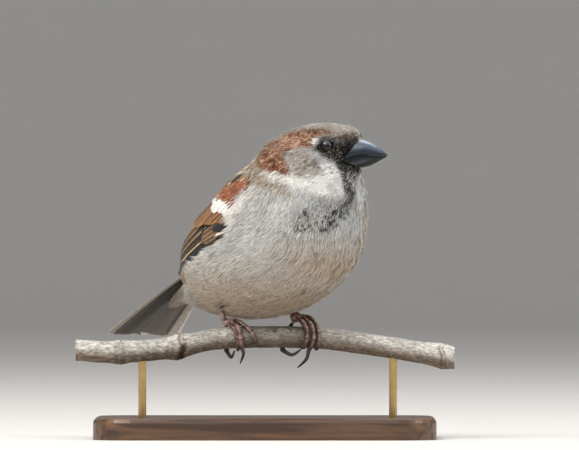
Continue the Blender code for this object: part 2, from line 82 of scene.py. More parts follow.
eye = {
    "f": 32.3, "l": 7.9, "u": 71.3,
    "radius": 2.85, "opening": 2.5, "pupil": 1.3, "iris": 2.15, "lid": 0.26,
    "partF": 32.8, "partU": 71.5, "part": 2.3,  # middle and radius of the feathers' parting
    "black": (0.002, 0.002, 0.002), "brown": (0.022, 0.007, 0.004), "skyReflection": (0.040, 0.052, 0.085),
    "lidDark": (0.018, 0.016, 0.016), "lidDots": (0.36, 0.32, 0.30),
}


# Catmull-Rom line through points, read at t counted in points.
def smoothLine(points, t):
    p = np.asarray(points, float)
    if p.ndim == 1:
        p = p[:, None]
    p = np.vstack([2 * p[0] - p[1], p, 2 * p[-1] - p[-2]])
    t = np.clip(np.asarray(t, float), 0, len(p) - 3)
    i = np.minimum(t.astype(int), len(p) - 4)
    x = (t - i)[..., None]
    a, b, c, d = p[i], p[i + 1], p[i + 2], p[i + 3]
    return 0.5 * (2 * b + (c - a) * x + (2 * a - 5 * b + 4 * c - d) * x**2 + (3 * b - a - 3 * c + d) * x**3)


# 0 to 1 along 3 x^2 - 2 x^3.
def ease(x):
    x = np.clip(x, 0, 1)
    return x * x * (3 - 2 * x)


def blendOf(a, b, share):
    return a + (b - a) * share


# A colour moved towards another by a share given for each place.
def tint(colour, other, share):
    return blendOf(colour, np.asarray(other), share[..., None])


# A bell: 1 at the centre, 1/e at the width on either side.
def hump(x, centre, width):
    return np.exp(-(((x - centre) / width) ** 2))


def unit(v):
    return v / np.maximum(np.linalg.norm(v, axis=-1, keepdims=True), 1e-9)


def gridOf(u, v):
    return np.meshgrid(u, v, indexing="ij")


def turnsOf(count):
    return np.linspace(0, 2 * math.pi, count + 1)[:-1]


# A plain unwrap of a grid: its row's and its column's shares.
def unitGrid(rows, columns):
    return np.stack(gridOf(np.linspace(0, 1, rows), np.linspace(0, 1, columns)), -1)


stationRows = np.array([np.hstack(row) for row in body["stations"]])
lastStation = len(stationRows) - 1


# How far up the side a ring's angle is: 0 on the belly's line, 1 on the back's.
def backOf(a):
    return (1 - np.cos(a)) / 2


# How far a point of the straight bird stands behind the bill's two slanting rear faces.
def behindBill(point):
    corner = np.array(bill["meeting"][0])
    off = point[..., [0, 2]] - corner
    depths = []
    for end, side in ((bill["ridge"][0], 1), (bill["keel"][0], -1)):
        run = unit(np.array(end) - corner)
        depths.append(off @ (side * np.array([-run[1], run[0]])))
    return np.maximum(*depths)


# Plumage surface before the head turns: at station t the ring runs from the belly (a = 0) by the
# left side over the back (pi), height = -cos a + shift sin^2 a, side = half width * sin a, narrowed
# towards the bill. Below station 0 it carries on straight.
def straightSurface(t, a):
    low = np.minimum(t, 0)[..., None]
    row = smoothLine(stationRows, t) + low * (stationRows[1] - stationRows[0]) * 0.8
    back, belly, halfWidth, shift = row[..., 0:2], row[..., 2:4], row[..., 4], row[..., 5]
    height = (-np.cos(a) + shift * np.sin(a) ** 2)[..., None]
    middle, half = (back + belly) / 2, (back - belly) / 2
    line = middle + half * height
    point = np.stack([line[..., 0], np.maximum(halfWidth, 0.4) * np.sin(a), line[..., 1]], -1)
    reach = behindBill(point)
    point[..., 1] *= 1 - (1 - body["faceTaper"]) * (1 - ease(reach / body["faceReach"]))
    point[..., 1] *= 1 - body["noseTaper"] * ease(-reach / body["noseReach"])
    return point


def turnHead(point, t):
    share = ease((np.asarray(t) - body["turnFrom"]) / (body["turnTo"] - body["turnFrom"]))
    angle = math.radians(body["headTurn"]) * share
    c, s = np.cos(angle), np.sin(angle)
    x, y = point[..., 0] - body["headPivot"], point[..., 1]
    return np.stack([body["headPivot"] + x * c - y * s, x * s + y * c, point[..., 2]], -1)


def surface(t, a):
    return turnHead(straightSurface(t, a), t)


# Point, outward normal, unit direction round the body, and the length of one station and of one
# radian there, from central differences.
def surfaceFrame(t, a):
    e = 0.01
    alongT = (surface(t + e, a) - surface(t - e, a)) / (2 * e)
    alongA = (surface(t, a + e) - surface(t, a - e)) / (2 * e)
    lengths = (np.linalg.norm(along, axis=-1) for along in (alongT, alongA))
    return surface(t, a), unit(np.cross(alongA, alongT)), unit(alongA), *lengths


# Bird's frame in millimetres to the row frame in metres.
def toWorld(point):
    angle = math.radians(body["heading"])
    c, s = math.cos(angle), math.sin(angle)
    x, y, z = point[..., 0], point[..., 1], point[..., 2]
    return np.stack([x * c - y * s, x * s + y * c, z + body["perchHeight"]], -1) * mm


def directionToWorld(v):
    return toWorld(v) / mm - (0, 0, body["perchHeight"])


# Quads over a grid of rows x columns points; wrap joins the last column to the first.
def gridFaces(rows, columns, wrap=False, flip=False):
    r, c = gridOf(np.arange(rows - 1), np.arange(columns if wrap else columns - 1))
    n = (c + 1) % columns
    quads = [r * columns + c, r * columns + n, (r + 1) * columns + n, (r + 1) * columns + c]
    quads = np.stack(quads, -1).reshape(-1, 4)
    return quads[:, ::-1] if flip else quads


# The same faces for count copies whose points follow each other every stride.
def repeatFaces(faces, count, stride):
    return (faces[None] + (np.arange(count) * stride)[:, None, None]).reshape(-1, faces.shape[1])


# A mesh object in the row frame. points are metres; uvs and colours are dictionaries of arrays with
# a row for each point; normals are the points' shading normals.
def addMesh(name, points, faceSets, material, nodes=(), uvs=None, colours=None, normals=None):
    mesh = bpy.data.meshes.new(name)
    points = np.asarray(points, np.float32).reshape(-1, 3)
    faceSets = [np.asarray(f, np.int32) for f in faceSets]
    corners = np.concatenate([f.ravel() for f in faceSets])
    sizes = np.concatenate([np.full(len(f), f.shape[1], np.int32) for f in faceSets])
    starts = np.concatenate([[0], np.cumsum(sizes)[:-1]]).astype(np.int32)
    mesh.vertices.add(len(points))
    mesh.vertices.foreach_set("co", points.ravel())
    mesh.loops.add(len(corners))
    mesh.loops.foreach_set("vertex_index", corners)
    mesh.polygons.add(len(starts))
    mesh.polygons.foreach_set("loop_start", starts)
    mesh.update(calc_edges=True)
    for key, uv in (uvs or {}).items():
        layer = mesh.uv_layers.new(name=key)
        layer.data.foreach_set("uv", np.asarray(uv, np.float32).reshape(-1, 2)[corners].ravel())
    for key, colour in (colours or {}).items():
        colour = np.asarray(colour, np.float32).reshape(len(points), -1)
        if colour.shape[1] == 3:
            colour = np.hstack([colour, np.ones((len(points), 1), np.float32)])
        layer = mesh.attributes.new(key, "FLOAT_COLOR", "POINT")
        layer.data.foreach_set("color", colour.ravel())
    mesh.shade_smooth()
    if normals is not None:
        mesh.normals_split_custom_set_from_vertices(np.asarray(normals, np.float32).reshape(-1, 3))
    mesh.materials.append(material)
    obj = bpy.data.objects.new(name, mesh)
    bpy.context.scene.collection.objects.link(obj)
    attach(obj, "root")
    if nodes:
        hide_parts(*nodes)
    return obj


# A node with its own settings and with its inputs, each a value or another node's output.
def addNode(tree, kind, settings=None, inputs=None):
    node = tree.nodes.new("ShaderNode" + kind)
    for key, value in (settings or {}).items():
        setattr(node, key, value)
    for key, value in (inputs or {}).items():
        if isinstance(value, bpy.types.NodeSocket):
            tree.links.new(value, node.inputs[key])
        else:
            node.inputs[key].default_value = value
    return node


def mathOf(tree, operation, *values):
    return addNode(tree, "Math", {"operation": operation}, dict(enumerate(values))).outputs[0]


# A colour times a factor.
def scaleOf(tree, colour, factor):
    return addNode(tree, "VectorMath", {"operation": "SCALE"}, {0: colour, "Scale": factor}).outputs[0]


def objectPlace(tree):
    return addNode(tree, "TexCoord").outputs["Object"]


def readAttribute(tree, name):
    return addNode(tree, "Attribute", {"attribute_name": name}).outputs


# A shader node group with named inputs (name, type, default) and outputs (name, type).
def newGroup(name, inputs, outputs):
    group = bpy.data.node_groups.new(name, "ShaderNodeTree")
    for label, kind, default in inputs:
        socket = group.interface.new_socket(label, in_out="INPUT", socket_type="NodeSocket" + kind)
        if default is not None:
            socket.default_value = default
    for label, kind in outputs:
        group.interface.new_socket(label, in_out="OUTPUT", socket_type="NodeSocket" + kind)
    return group, group.nodes.new("NodeGroupInput").outputs, group.nodes.new("NodeGroupOutput").inputs


# Two sizes of noise on a position that lighten and darken a colour by an amount:
# colour * (1 - amount + 2 amount * noise).
def makeMottle():
    group, given, result = newGroup("mottle", (
        ("Vector", "Vector", None), ("Colour", "Color", (1, 1, 1, 1)),
        ("Scale", "Float", 400.0), ("Amount", "Float", 0.2),
    ), (("Colour", "Color"), ("Value", "Float")))
    closer = mathOf(group, "MULTIPLY", given["Scale"], 4.3)
    coarse, fine = (
        addNode(group, "TexNoise", None, {"Vector": given["Vector"], "Scale": scale, "Detail": detail})
        for scale, detail in ((given["Scale"], 4.0), (closer, 2.0))
    )
    both = mathOf(group, "ADD", coarse.outputs["Fac"], fine.outputs["Fac"])
    spread = addNode(group, "MapRange", None, {"Value": both, "From Min": 0.7, "From Max": 1.3}).outputs[0]
    low = mathOf(group, "SUBTRACT", 1.0, given["Amount"])
    high = mathOf(group, "MULTIPLY", given["Amount"], 2.0)
    gain = mathOf(group, "MULTIPLY_ADD", spread, high, low)
    group.links.new(scaleOf(group, given["Colour"], gain), result["Colour"])
    group.links.new(spread, result["Value"])
    return group


# Fine slanting barb lines on both sides of a vane's shaft, from its own UV map: the sine of
# lines * (along - 0.55 * distance from the shaft).
def makeBarbs():
    group, given, result = newGroup(
        "barbs", (("UV", "Vector", None), ("Lines", "Float", 60.0)), (("Value", "Float"), ("Side", "Float")),
    )
    parts = addNode(group, "SeparateXYZ", None, {0: given["UV"]}).outputs
    side = mathOf(group, "ABSOLUTE", mathOf(group, "SUBTRACT", parts["X"], 0.5))
    slant = mathOf(group, "MULTIPLY_ADD", side, -0.55, parts["Y"])
    group.links.new(mathOf(group, "SINE", mathOf(group, "MULTIPLY", slant, given["Lines"])), result["Value"])
    group.links.new(side, result["Side"])
    return group


mottle, barbs = makeMottle(), makeBarbs()


def newMaterial(name, finish):
    material = bpy.data.materials.new(name)
    material.use_nodes = True
    shader = material.node_tree.nodes["Principled BSDF"]
    for key, value in {"Coat Roughness": 0.08, **finish}.items():
        shader.inputs[key].default_value = value
    return material, material.node_tree, shader


# Puts the mottle group after a colour and gives its outputs.
def addMottle(tree, colour, vector, scale, amount):
    inputs = {"Vector": vector, "Colour": colour, "Scale": scale, "Amount": amount}
    return addNode(tree, "Group", {"node_tree": mottle}, inputs).outputs


def addBump(tree, shader, height, strength, distance):
    bump = addNode(tree, "Bump", None, {"Strength": strength, "Distance": distance, "Height": height})
    tree.links.new(bump.outputs["Normal"], shader.inputs["Normal"])


# Feather colour from the piece's own attribute, mottled a little.
def plumageMaterial(name, amount):
    finish = {"Roughness": 0.85, "Sheen Weight": 0.12, "Sheen Roughness": 0.5, "Specular IOR Level": 0.2}
    material, tree, shader = newMaterial(name, finish)
    mixed = addMottle(tree, readAttribute(tree, "plume")["Color"], objectPlace(tree), 900.0, amount)
    tree.links.new(mixed["Colour"], shader.inputs["Base Color"])
    return material


# Flight feathers: a centre colour and an edge colour from attributes, divided at the share of the
# half width in the centre's alpha, with a dark shaft and fine barb lines.
def vaneMaterial(name, lines):
    finish = {"Roughness": 0.55, "Sheen Weight": 0.05, "Specular IOR Level": 0.35}
    material, tree, shader = newMaterial(name, finish)
    own = addNode(tree, "UVMap", {"uv_map": "vane"}).outputs["UV"]
    centre, edge = readAttribute(tree, "centre"), readAttribute(tree, "edge")
    lined = addNode(tree, "Group", {"node_tree": barbs}, {"UV": own, "Lines": lines}).outputs
    place = objectPlace(tree)
    noise = addNode(tree, "TexNoise", None, {"Vector": place, "Scale": 700.0}).outputs["Fac"]
    # Side is 0 at the shaft and 0.5 at the edge, so the border is half the alpha.
    wobble = mathOf(tree, "MULTIPLY_ADD", noise, 0.16, lined["Side"])
    border = mathOf(tree, "MULTIPLY_ADD", centre["Alpha"], 0.5, 0.08)
    share = addNode(tree, "MapRange", {"interpolation_type": "SMOOTHSTEP"}, {
        "Value": mathOf(tree, "SUBTRACT", wobble, border), "From Min": -0.035, "From Max": 0.035,
    }).outputs["Result"]
    mix = addNode(tree, "Mix", {"data_type": "RGBA"}, {
        "Factor": share, "A": centre["Color"], "B": edge["Color"],
    }).outputs["Result"]
    mixed = addMottle(tree, mix, place, 600.0, 0.22)
    shaft = addNode(tree, "MapRange", None, {
        "Value": lined["Side"], "From Min": 0.012, "From Max": 0.03, "To Min": 0.45,
    }).outputs["Result"]
    tree.links.new(scaleOf(tree, mixed["Colour"], shaft), shader.inputs["Base Color"])
    addBump(tree, shader, lined["Value"], 0.35, 0.00008)
    return material


# Each mark is its colour in linear light, how soft its edge is, and a chain of round spots
# (f, l, u, radius) on the straight bird. These are the same on both sides; later ones lie on top.
marks = {
    "neckSide": ((0.45, 0.365, 0.27), 4.6, (
        (2, 10, 69, 5), (8, 17, 65, 5.5), (13.5, 20.8, 61.9, 4.2), (19, 22.7, 59.0, 2.8),
        (25.5, 22.5, 55.9, 1.4), (30.4, 21.1, 53.5, 0.6),
    )),
    "collar": ((0.86, 0.84, 0.79), 2.8, (
        (43.2, 7.5, 55.0, 2.2), (40.1, 12.4, 55.7, 3.2), (35.5, 16.9, 57.3, 3.2),
        (28.0, 20.4, 59.1, 2.1), (22.1, 22.0, 60.0, 1.5), (17.0, 22.0, 61.8, 0.8),
    )),
    "cheek": ((0.425, 0.375, 0.325), 2.4, (
        (22.7, 18.3, 65.9, 2.0), (24.5, 16.6, 67.4, 3.0), (28.5, 16.9, 64.9, 4.2),
        (29.4, 18.0, 62.4, 2.8), (32.4, 15.4, 62.7, 2.2),
    )),
    "cheekFront": ((0.9, 0.87, 0.81), 2.0, (
        (33.0, 11.4, 65.4, 0.8), (34.6, 11.8, 63.6, 1.9), (36.8, 11.6, 61.6, 3.0),
        (39.9, 11.0, 58.3, 2.9),
    )),
    "crown": ((0.48, 0.43, 0.37), 2.4, (
        (42, 0, 76, 5), (36, 0, 79, 5.2), (27, 0, 80.5, 4.6), (18, 0, 79, 3.2), (9, 0, 74.5, 4.2),
        (4, 0, 69, 5),
    )),
    "chestnut": ((0.275, 0.094, 0.044), 1.3, (
        (34.8, 7.4, 75.9, 0.3), (30.7, 7.5, 76.8, 1.4), (27.8, 8.2, 76.6, 2.2), (26.3, 10.6, 73.6, 3.3),
        (22.7, 9.8, 74.8, 4.4), (18.0, 11.6, 73.0, 5.6), (13.6, 13.6, 70.6, 5.4),
        (14.8, 17.0, 67.2, 4.4), (19.6, 19.4, 64.2, 3.1), (25.5, 20.3, 61.2, 0.9),
    )),
    "crownEdge": ((0.105, 0.036, 0.02), 1.4, (
        (35.0, 7.2, 76.2, 0.3), (31.0, 7.4, 77.0, 1.2), (27.0, 7.9, 77.2, 1.6), (22.0, 8.2, 76.8, 1.2),
    )),
    "thighs": ((0.02, 0.014, 0.011), 1.6, (
        (-10.2, 14.0, 12.2, 1.0), (-6.4, 15.3, 12.8, 1.5), (-2.8, 15.9, 12.4, 0.8),
    )),
    "rumpSides": ((0.33, 0.235, 0.14), 3.0, (
        (-36.5, 8.8, 21.6, 2.0), (-31.0, 13.6, 21.6, 2.6), (-26.3, 17.4, 22.2, 2.8),
        (-21.5, 20.8, 25.0, 1.6),
    )),
    "forehead": ((0.16, 0.11, 0.08), 2.2, (
        (36.1, 7.7, 75.0, 0.8), (40.2, 4.7, 73.8, 1.2), (42.3, 3.0, 72.6, 0.9),
    )),
    "shoulder": ((0.88, 0.84, 0.77), 3.5, (
        (17.0, 25.2, 53.0, 1.0), (13.9, 25.5, 50.5, 2.4), (9.9, 25.8, 46.5, 2.6),
        (8.8, 26.4, 42.5, 1.6),
    )),
    "whiteSpot": ((0.97, 0.95, 0.9), 0.35, (
        (28.3, 10.8, 72.4, 0.9), (29.0, 10.3, 73.6, 1.35),
    )),
    "eyeStripe": ((0.012, 0.011, 0.011), 0.7, (
        (28.3, 12.2, 70.7, 0.5), (29.8, 12.0, 70.0, 1.1), (32.2, 11.2, 69.0, 1.7),
        (35.6, 8.2, 68.4, 2.5), (38.0, 5.8, 69.0, 3.2),
    )),
    "eyeRim": ((0.016, 0.014, 0.014), 0.8, (
        (32.0, 11.6, 69.6, 1.2), (29.9, 11.4, 70.6, 1.3), (29.9, 10.8, 72.0, 0.9),
        (30.6, 10.2, 73.6, 1.0), (32.4, 9.4, 74.6, 1.1), (34.6, 8.8, 74.0, 1.5), (35.4, 9.0, 71.5, 1.9),
    )),
    "browSpot": ((0.5, 0.42, 0.32), 0.6, (
        (33.0, 9.2, 75.2, 0.3), (34.8, 8.5, 75.0, 0.5),
    )),
    "lores": ((0.016, 0.014, 0.014), 1.6, (
        (35.8, 9.2, 70.6, 2.4), (38.4, 7.4, 70.4, 2.7), (40.6, 5.2, 70.8, 2.2),
    )),
    "gape": ((0.01, 0.009, 0.009), 0.8, (
        (37.4, 6.0, 66.8, 2.6), (39.2, 4.6, 65.8, 4.0), (41.5, 3.0, 65.6, 4.4),
    )),
    "moustache": ((0.012, 0.011, 0.011), 0.8, (
        (37.2, 6.4, 66.0, 2.2), (38.0, 8.4, 63.9, 1.3), (40.4, 5.6, 62.6, 2.8),
    )),
}
# The throat and breast are turned a little to the bird's right, so these are on one side only.
fringe = (0.93, 0.91, 0.86), 1.2, (
    (43.4, 0.8, 60.6, 1.0), (44.1, 2.4, 56.6, 2.2), (44.4, 4.2, 52.8, 2.6), (44.6, 4.2, 49.6, 1.2),
)
breastSide = (0.6, 0.5, 0.385), 6.0, (
    (44.1, 7.4, 46.7, 1.6), (41.3, 13.0, 40.6, 4.5), (39.7, 11.5, 33.0, 5.0), (37.4, 8.0, 26.0, 4.5),
)
throatPatch = (0.012, 0.011, 0.011), 1.0, (
    (40.8, -4.0, 63.8, 4.4), (40.2, -5.4, 62.0, 3.9), (41.6, -5.4, 59.8, 3.5), (43.0, -4.8, 56.8, 3.2),
    (44.0, -3.9, 53.4, 2.5), (44.2, -4.2, 51.4, 1.8),
)
bibPatch = (0.41, 0.405, 0.39), 6.5, (
    (44.3, -5.0, 49.0, 4.2), (42.2, -10.5, 46.5, 5.8), (39.6, -14.0, 46.2, 5.8),
    (36.4, -17.6, 45.0, 4.6),
)
# The bib's dark specks gather round these: f, l, u, size, and how many.
bibSpecks = (
    (36.6, -17.2, 42.4, 2.4, 0.9), (39.1, -14.2, 40.6, 1.8, 0.55), (37.2, -16.9, 48.8, 1.9, 0.5),
    (42.6, -9.8, 45.4, 2.3, 0.6), (41.6, -11.4, 42.2, 1.9, 0.45), (44.2, -5.8, 48.4, 2.6, 0.6),
    (43.9, -5.4, 51.4, 2.0, 0.7), (42.4, -10.1, 49.6, 2.4, 0.4),
)


# 1 inside a chain of round spots and 0 past its soft edge: for each stretch the distance to its
# nearest point less the radius there, and the least of these over the chain.
def markShare(point, mark):
    _, soft, line = mark
    line = np.asarray(line, float)
    best = np.full(point.shape[:-1], 1e3)
    for start, end in zip(line[:-1], line[1:]):
        run = end[:3] - start[:3]
        s = np.clip((point - start[:3]) @ run / (run @ run), 0, 1)
        away = np.linalg.norm(point - start[:3] - s[..., None] * run, axis=-1)
        best = np.minimum(best, away - blendOf(start[3], end[3], s))
    return ease(0.5 - best / soft)


plumageTones = {
    "breast": (0.600, 0.605, 0.595),
    "belly": (0.535, 0.405, 0.270),
    "ventMiddle": (0.47, 0.405, 0.33), "vent": (0.74, 0.69, 0.61),
    "mantle": (0.36, 0.215, 0.115), "mantleEdge": (0.60, 0.47, 0.32), "mantleStreak": (0.035, 0.025, 0.02),
    "rump": (0.27, 0.23, 0.18),
    "napeGrey": (0.36, 0.32, 0.27),
}
mantleStreaks = {"width": 4.4, "radius": 16.0}  # one streak every so many millimetres of arc


# Each streak of the mantle has a phase of its own.
def arcPhase(a):
    return 1.7 * np.round((a - math.pi) * mantleStreaks["radius"] / mantleStreaks["width"])


# The mantle's colour: buff edges and black streaks follow cosines of the arc across the back, and
# the streaks wander and break off with sines along it.
def mantleColour(t, a):
    width, radius = mantleStreaks["width"], mantleStreaks["radius"]
    across = (a - math.pi) * radius
    pale = ease((np.cos(across * 2 * math.pi / width + 2.6 + 0.4 * np.sin(t * 2.3)) - 0.55) / 0.3)
    colour = tint(np.array(plumageTones["mantle"]), plumageTones["mantleEdge"], 0.7 * pale)
    arc = across + 0.3 * np.sin(t * 2.1) + 0.2 * np.sin(t * 4.3 + arcPhase(a))
    streak = ease((np.cos(arc * 2 * math.pi / width + 0.5) - 0.2) / 0.6)
    streak = streak * ease((np.sin(t * 3.3 + 3 * arcPhase(a)) + 1.25) / 0.6)
    return tint(colour, plumageTones["mantleStreak"], 0.85 * streak)


# The coat's colour at station t and angle a. jitter moves where each tuft reads the marks, so that
# their edges break up between feathers.
def plumageColour(t, a, rng, jitter=0.0):
    point = straightSurface(t, a)
    point = point + rng.normal(0, 1, point.shape) * jitter
    f, l, u = point[..., 0], point[..., 1], point[..., 2]
    back = backOf(a)
    belly = np.array(plumageTones["belly"])
    warm = ease((35 - u) / 24) * ease((t - 1.8) / 1.5)
    side = ease((f - 18) / 22) * ease((42 - u) / 18)
    colour = tint(np.array(plumageTones["breast"]), belly, 0.85 * np.maximum(warm, side))
    bands = np.sin(24 * a + 2.2 * np.sin(2.1 * t)) + 0.8 * np.sin(41 * a - 3.0 * np.sin(1.3 * t) + 1.0)
    colour = colour * (1 + 0.045 * bands * side)[..., None]
    colour = tint(colour, belly * 0.86, 0.16 * ease(bands - 0.3) * ease((t - 2) / 1))
    vent = tint(np.array(plumageTones["ventMiddle"]), plumageTones["vent"], ease((t - 0.6) / 0.9))
    colour = tint(colour, vent, ease((2.4 - t) / 1.4))
    upper = tint(np.array(plumageTones["rump"]), mantleColour(t, a), ease((t - 3.6) / 1.2))
    colour = tint(colour, upper, ease((back - 0.66) / 0.12) * ease((8.6 - t) / 0.8))
    colour = tint(colour, plumageTones["napeGrey"], ease((t - 7.7) / 0.9) * ease((back - 0.42) / 0.2))
    mirrored = np.stack([f, np.abs(l), u], -1)
    for mark in marks.values():
        colour = tint(colour, mark[0], markShare(mirrored, mark))
    bib = markShare(point, bibPatch)
    for mark, share in (
        (bibPatch, 0.66 * bib), (breastSide, 0.7 * markShare(point, breastSide)),
        (fringe, markShare(point, fringe)), (throatPatch, markShare(point, throatPatch)),
    ):
        colour = tint(colour, mark[0], share)
    return colour, bib


skin = {"rings": 220, "sides": 200, "firstStation": 0.9, "trunkDepth": 2.2, "headDepth": 0.9, "dim": 0.8}


def coatDepth(t):
    return blendOf(skin["trunkDepth"], skin["headDepth"], ease((t - 7.0) / 2.6))


# How far the plumage stands out beyond its plain surface: fuller over the forehead, tucked in
# under the chin and beside the tail's root. Each is a bell over the stations.
def swell(t, a):
    front, flank = ease((np.cos(a) - 0.72) / 0.2), np.abs(np.sin(a))
    return (
        0.85 * hump(t, 12.5, 0.7) * ease((-np.cos(a) - 0.35) / 0.4)
        - 1.5 * hump(t, 9.05, 0.75) * front
        - 0.9 * hump(t, 8.2, 0.55) * front
        - 0.35 * hump(t, 7.2, 0.6) * front
        - 1.2 * hump(t, 2.1, 0.8) * ease((flank - 0.75) / 0.2)
        - 2.6 * hump(t, 0.85, 0.8) * ease((flank - 0.55) / 0.3)
    )


# Where a place of the body lies on the skin's unwrap.
def skinUnwrap(t, a):
    return np.stack([a / (2 * math.pi), t / lastStation], -1) * 0.98 + 0.01


# One closed skin under the coat: the plumage surface pushed in by the coat's depth, with each end
# drawn to a point.
def buildSkin(material):
    rng = np.random.default_rng(11)
    t, a = gridOf(
        np.linspace(skin["firstStation"], lastStation, skin["rings"]),
        np.linspace(0, 2 * math.pi, skin["sides"] + 1),
    )
    point, normal, _, _, _ = surfaceFrame(np.clip(t, 0.02, lastStation - 0.02), a)
    place = point + normal * (swell(t, a) - coatDepth(t))[..., None]
    for end in (0, -1):
        place[end] = place[end, :-1].mean(0)
    # The skin is the coat's colour dimmed: the feathers' grey bases, and painted shade deep in the coat.
    colour, _ = plumageColour(t, a, rng)
    addMesh(
        "skin", toWorld(place), [gridFaces(*t.shape)], material, ("trunk", "neck", "head"),
        uvs={"OFBake": skinUnwrap(t, a)}, colours={"plume": colour * skin["dim"]},
    )


coat = {
    "cover": 12.0,  # layers of strands over each place
    "trunkLength": 8.0, "headLength": 2.9, "faceLength": 1.3,
    "trunkWidth": 0.25, "headWidth": 0.165, "faceWidth": 0.14,
    "trunkLift": 0.3, "headLift": 0.12,  # how far the tips stand off
    "strands": 8, "seed": 5,
    "patch": 0.003,  # size of a tuft's patch on the unwrap
    "rootRings": 300, "rootSides": 180,
    "places": (0.0, 0.4, 0.75, 1.0),  # along a strand, from root to tip
    "widths": (0.55, 1.0, 0.8, 0.0),
    # Along a strand, darker at the root: the feathers' grey bases, and painted shade deep in the coat.
    "shades": (0.60, 0.84, 1.00, 1.08),
    "lean": 0.5,  # of the shading normals to a strand's two sides
    "headFrom": 9.6, "neckFrom": 8.0, "breastFrom": 5.8, "bellyFrom": 3.0,  # stations between the pieces
    "flankFrom": 0.22, "napeFrom": 0.5, "backFrom": 0.62,  # and how far up the side
    "greyTip": (0.56, 0.50, 0.42), "whiteTip": (0.90, 0.89, 0.86), "buffTip": (0.76, 0.54, 0.38),
    "bibBlack": (0.020, 0.018, 0.018), "bibGrey": (0.27, 0.265, 0.255),
    "dark": (0.60, 0.55, 0.48), "light": (0.86, 0.85, 0.82),
}


# Length and width of the strands at a place: long on the trunk, short on the head, shortest by
# the bill and round the eye. The bib's are shorter, so that its black specks stay small.
def tuftSize(t, point):
    toHead = ease((t - 7.2) / 2.2)
    toEye = np.hypot(point[..., 0] - eye["f"], point[..., 2] - eye["u"])
    face = np.maximum(1 - ease((behindBill(point) - 0.5) / 8.0), 1 - ease((toEye - 3.0) / 5.0))
    face = face * ease((t - 9) / 1)
    length, width = (
        blendOf(blendOf(coat["trunk" + key], coat["head" + key], toHead), coat["face" + key], face)
        for key in ("Length", "Width")
    )
    bib = markShare(point, bibPatch)
    return length * (1 - 0.5 * bib), width * (1 + 0.25 * bib)


# Points over the eye's opening are moved out to its rim, in the straight bird's side view.
def partRoundEye(point):
    f, u = point[..., 0] - eye["partF"], point[..., 2] - eye["partU"]
    away = np.hypot(f, u)
    inside = (away < eye["part"]) & (np.abs(point[..., 1]) > 4)
    grow = np.where(inside, (eye["part"] + 0.12 * away) / np.maximum(away, 0.05), 1.0)
    return np.stack([eye["partF"] + f * grow, point[..., 1], eye["partU"] + u * grow], -1)


# Ribbons as whole arrays. centre, across and normal are (strand, place, 3); each ribbon has three
# pairs of points and a tip, and its shading normals lean to each side, as on a barb.
def strandMesh(centre, across, normal, width, colour, uvRoot):
    count, lean = len(centre), coat["lean"]
    half = width[:, None] * np.array(coat["widths"]) * 0.5
    left = centre - across * half[..., None]
    right = centre + across * half[..., None]
    points = np.concatenate([left[:, :3], right[:, :3], centre[:, 3:]], 1)
    normals = np.concatenate([
        unit(normal[:, :3] - across[:, :3] * lean), unit(normal[:, :3] + across[:, :3] * lean), normal[:, 3:],
    ], 1)
    order = [0, 1, 2, 0, 1, 2, 3]
    quads = np.array([[0, 1, 4, 3], [1, 2, 5, 4]])
    tip = np.array([[2, 6, 5]])
    sides = np.array([-0.5, -0.5, -0.5, 0.5, 0.5, 0.5, 0])
    local = np.stack([sides, np.array(coat["places"])[order]], -1)
    uv = uvRoot[:, None] + (local - (0, 0.5)) * coat["patch"]
    return points, [repeatFaces(f, count, len(order)) for f in (quads, tip)], normals, colour[:, order], uv


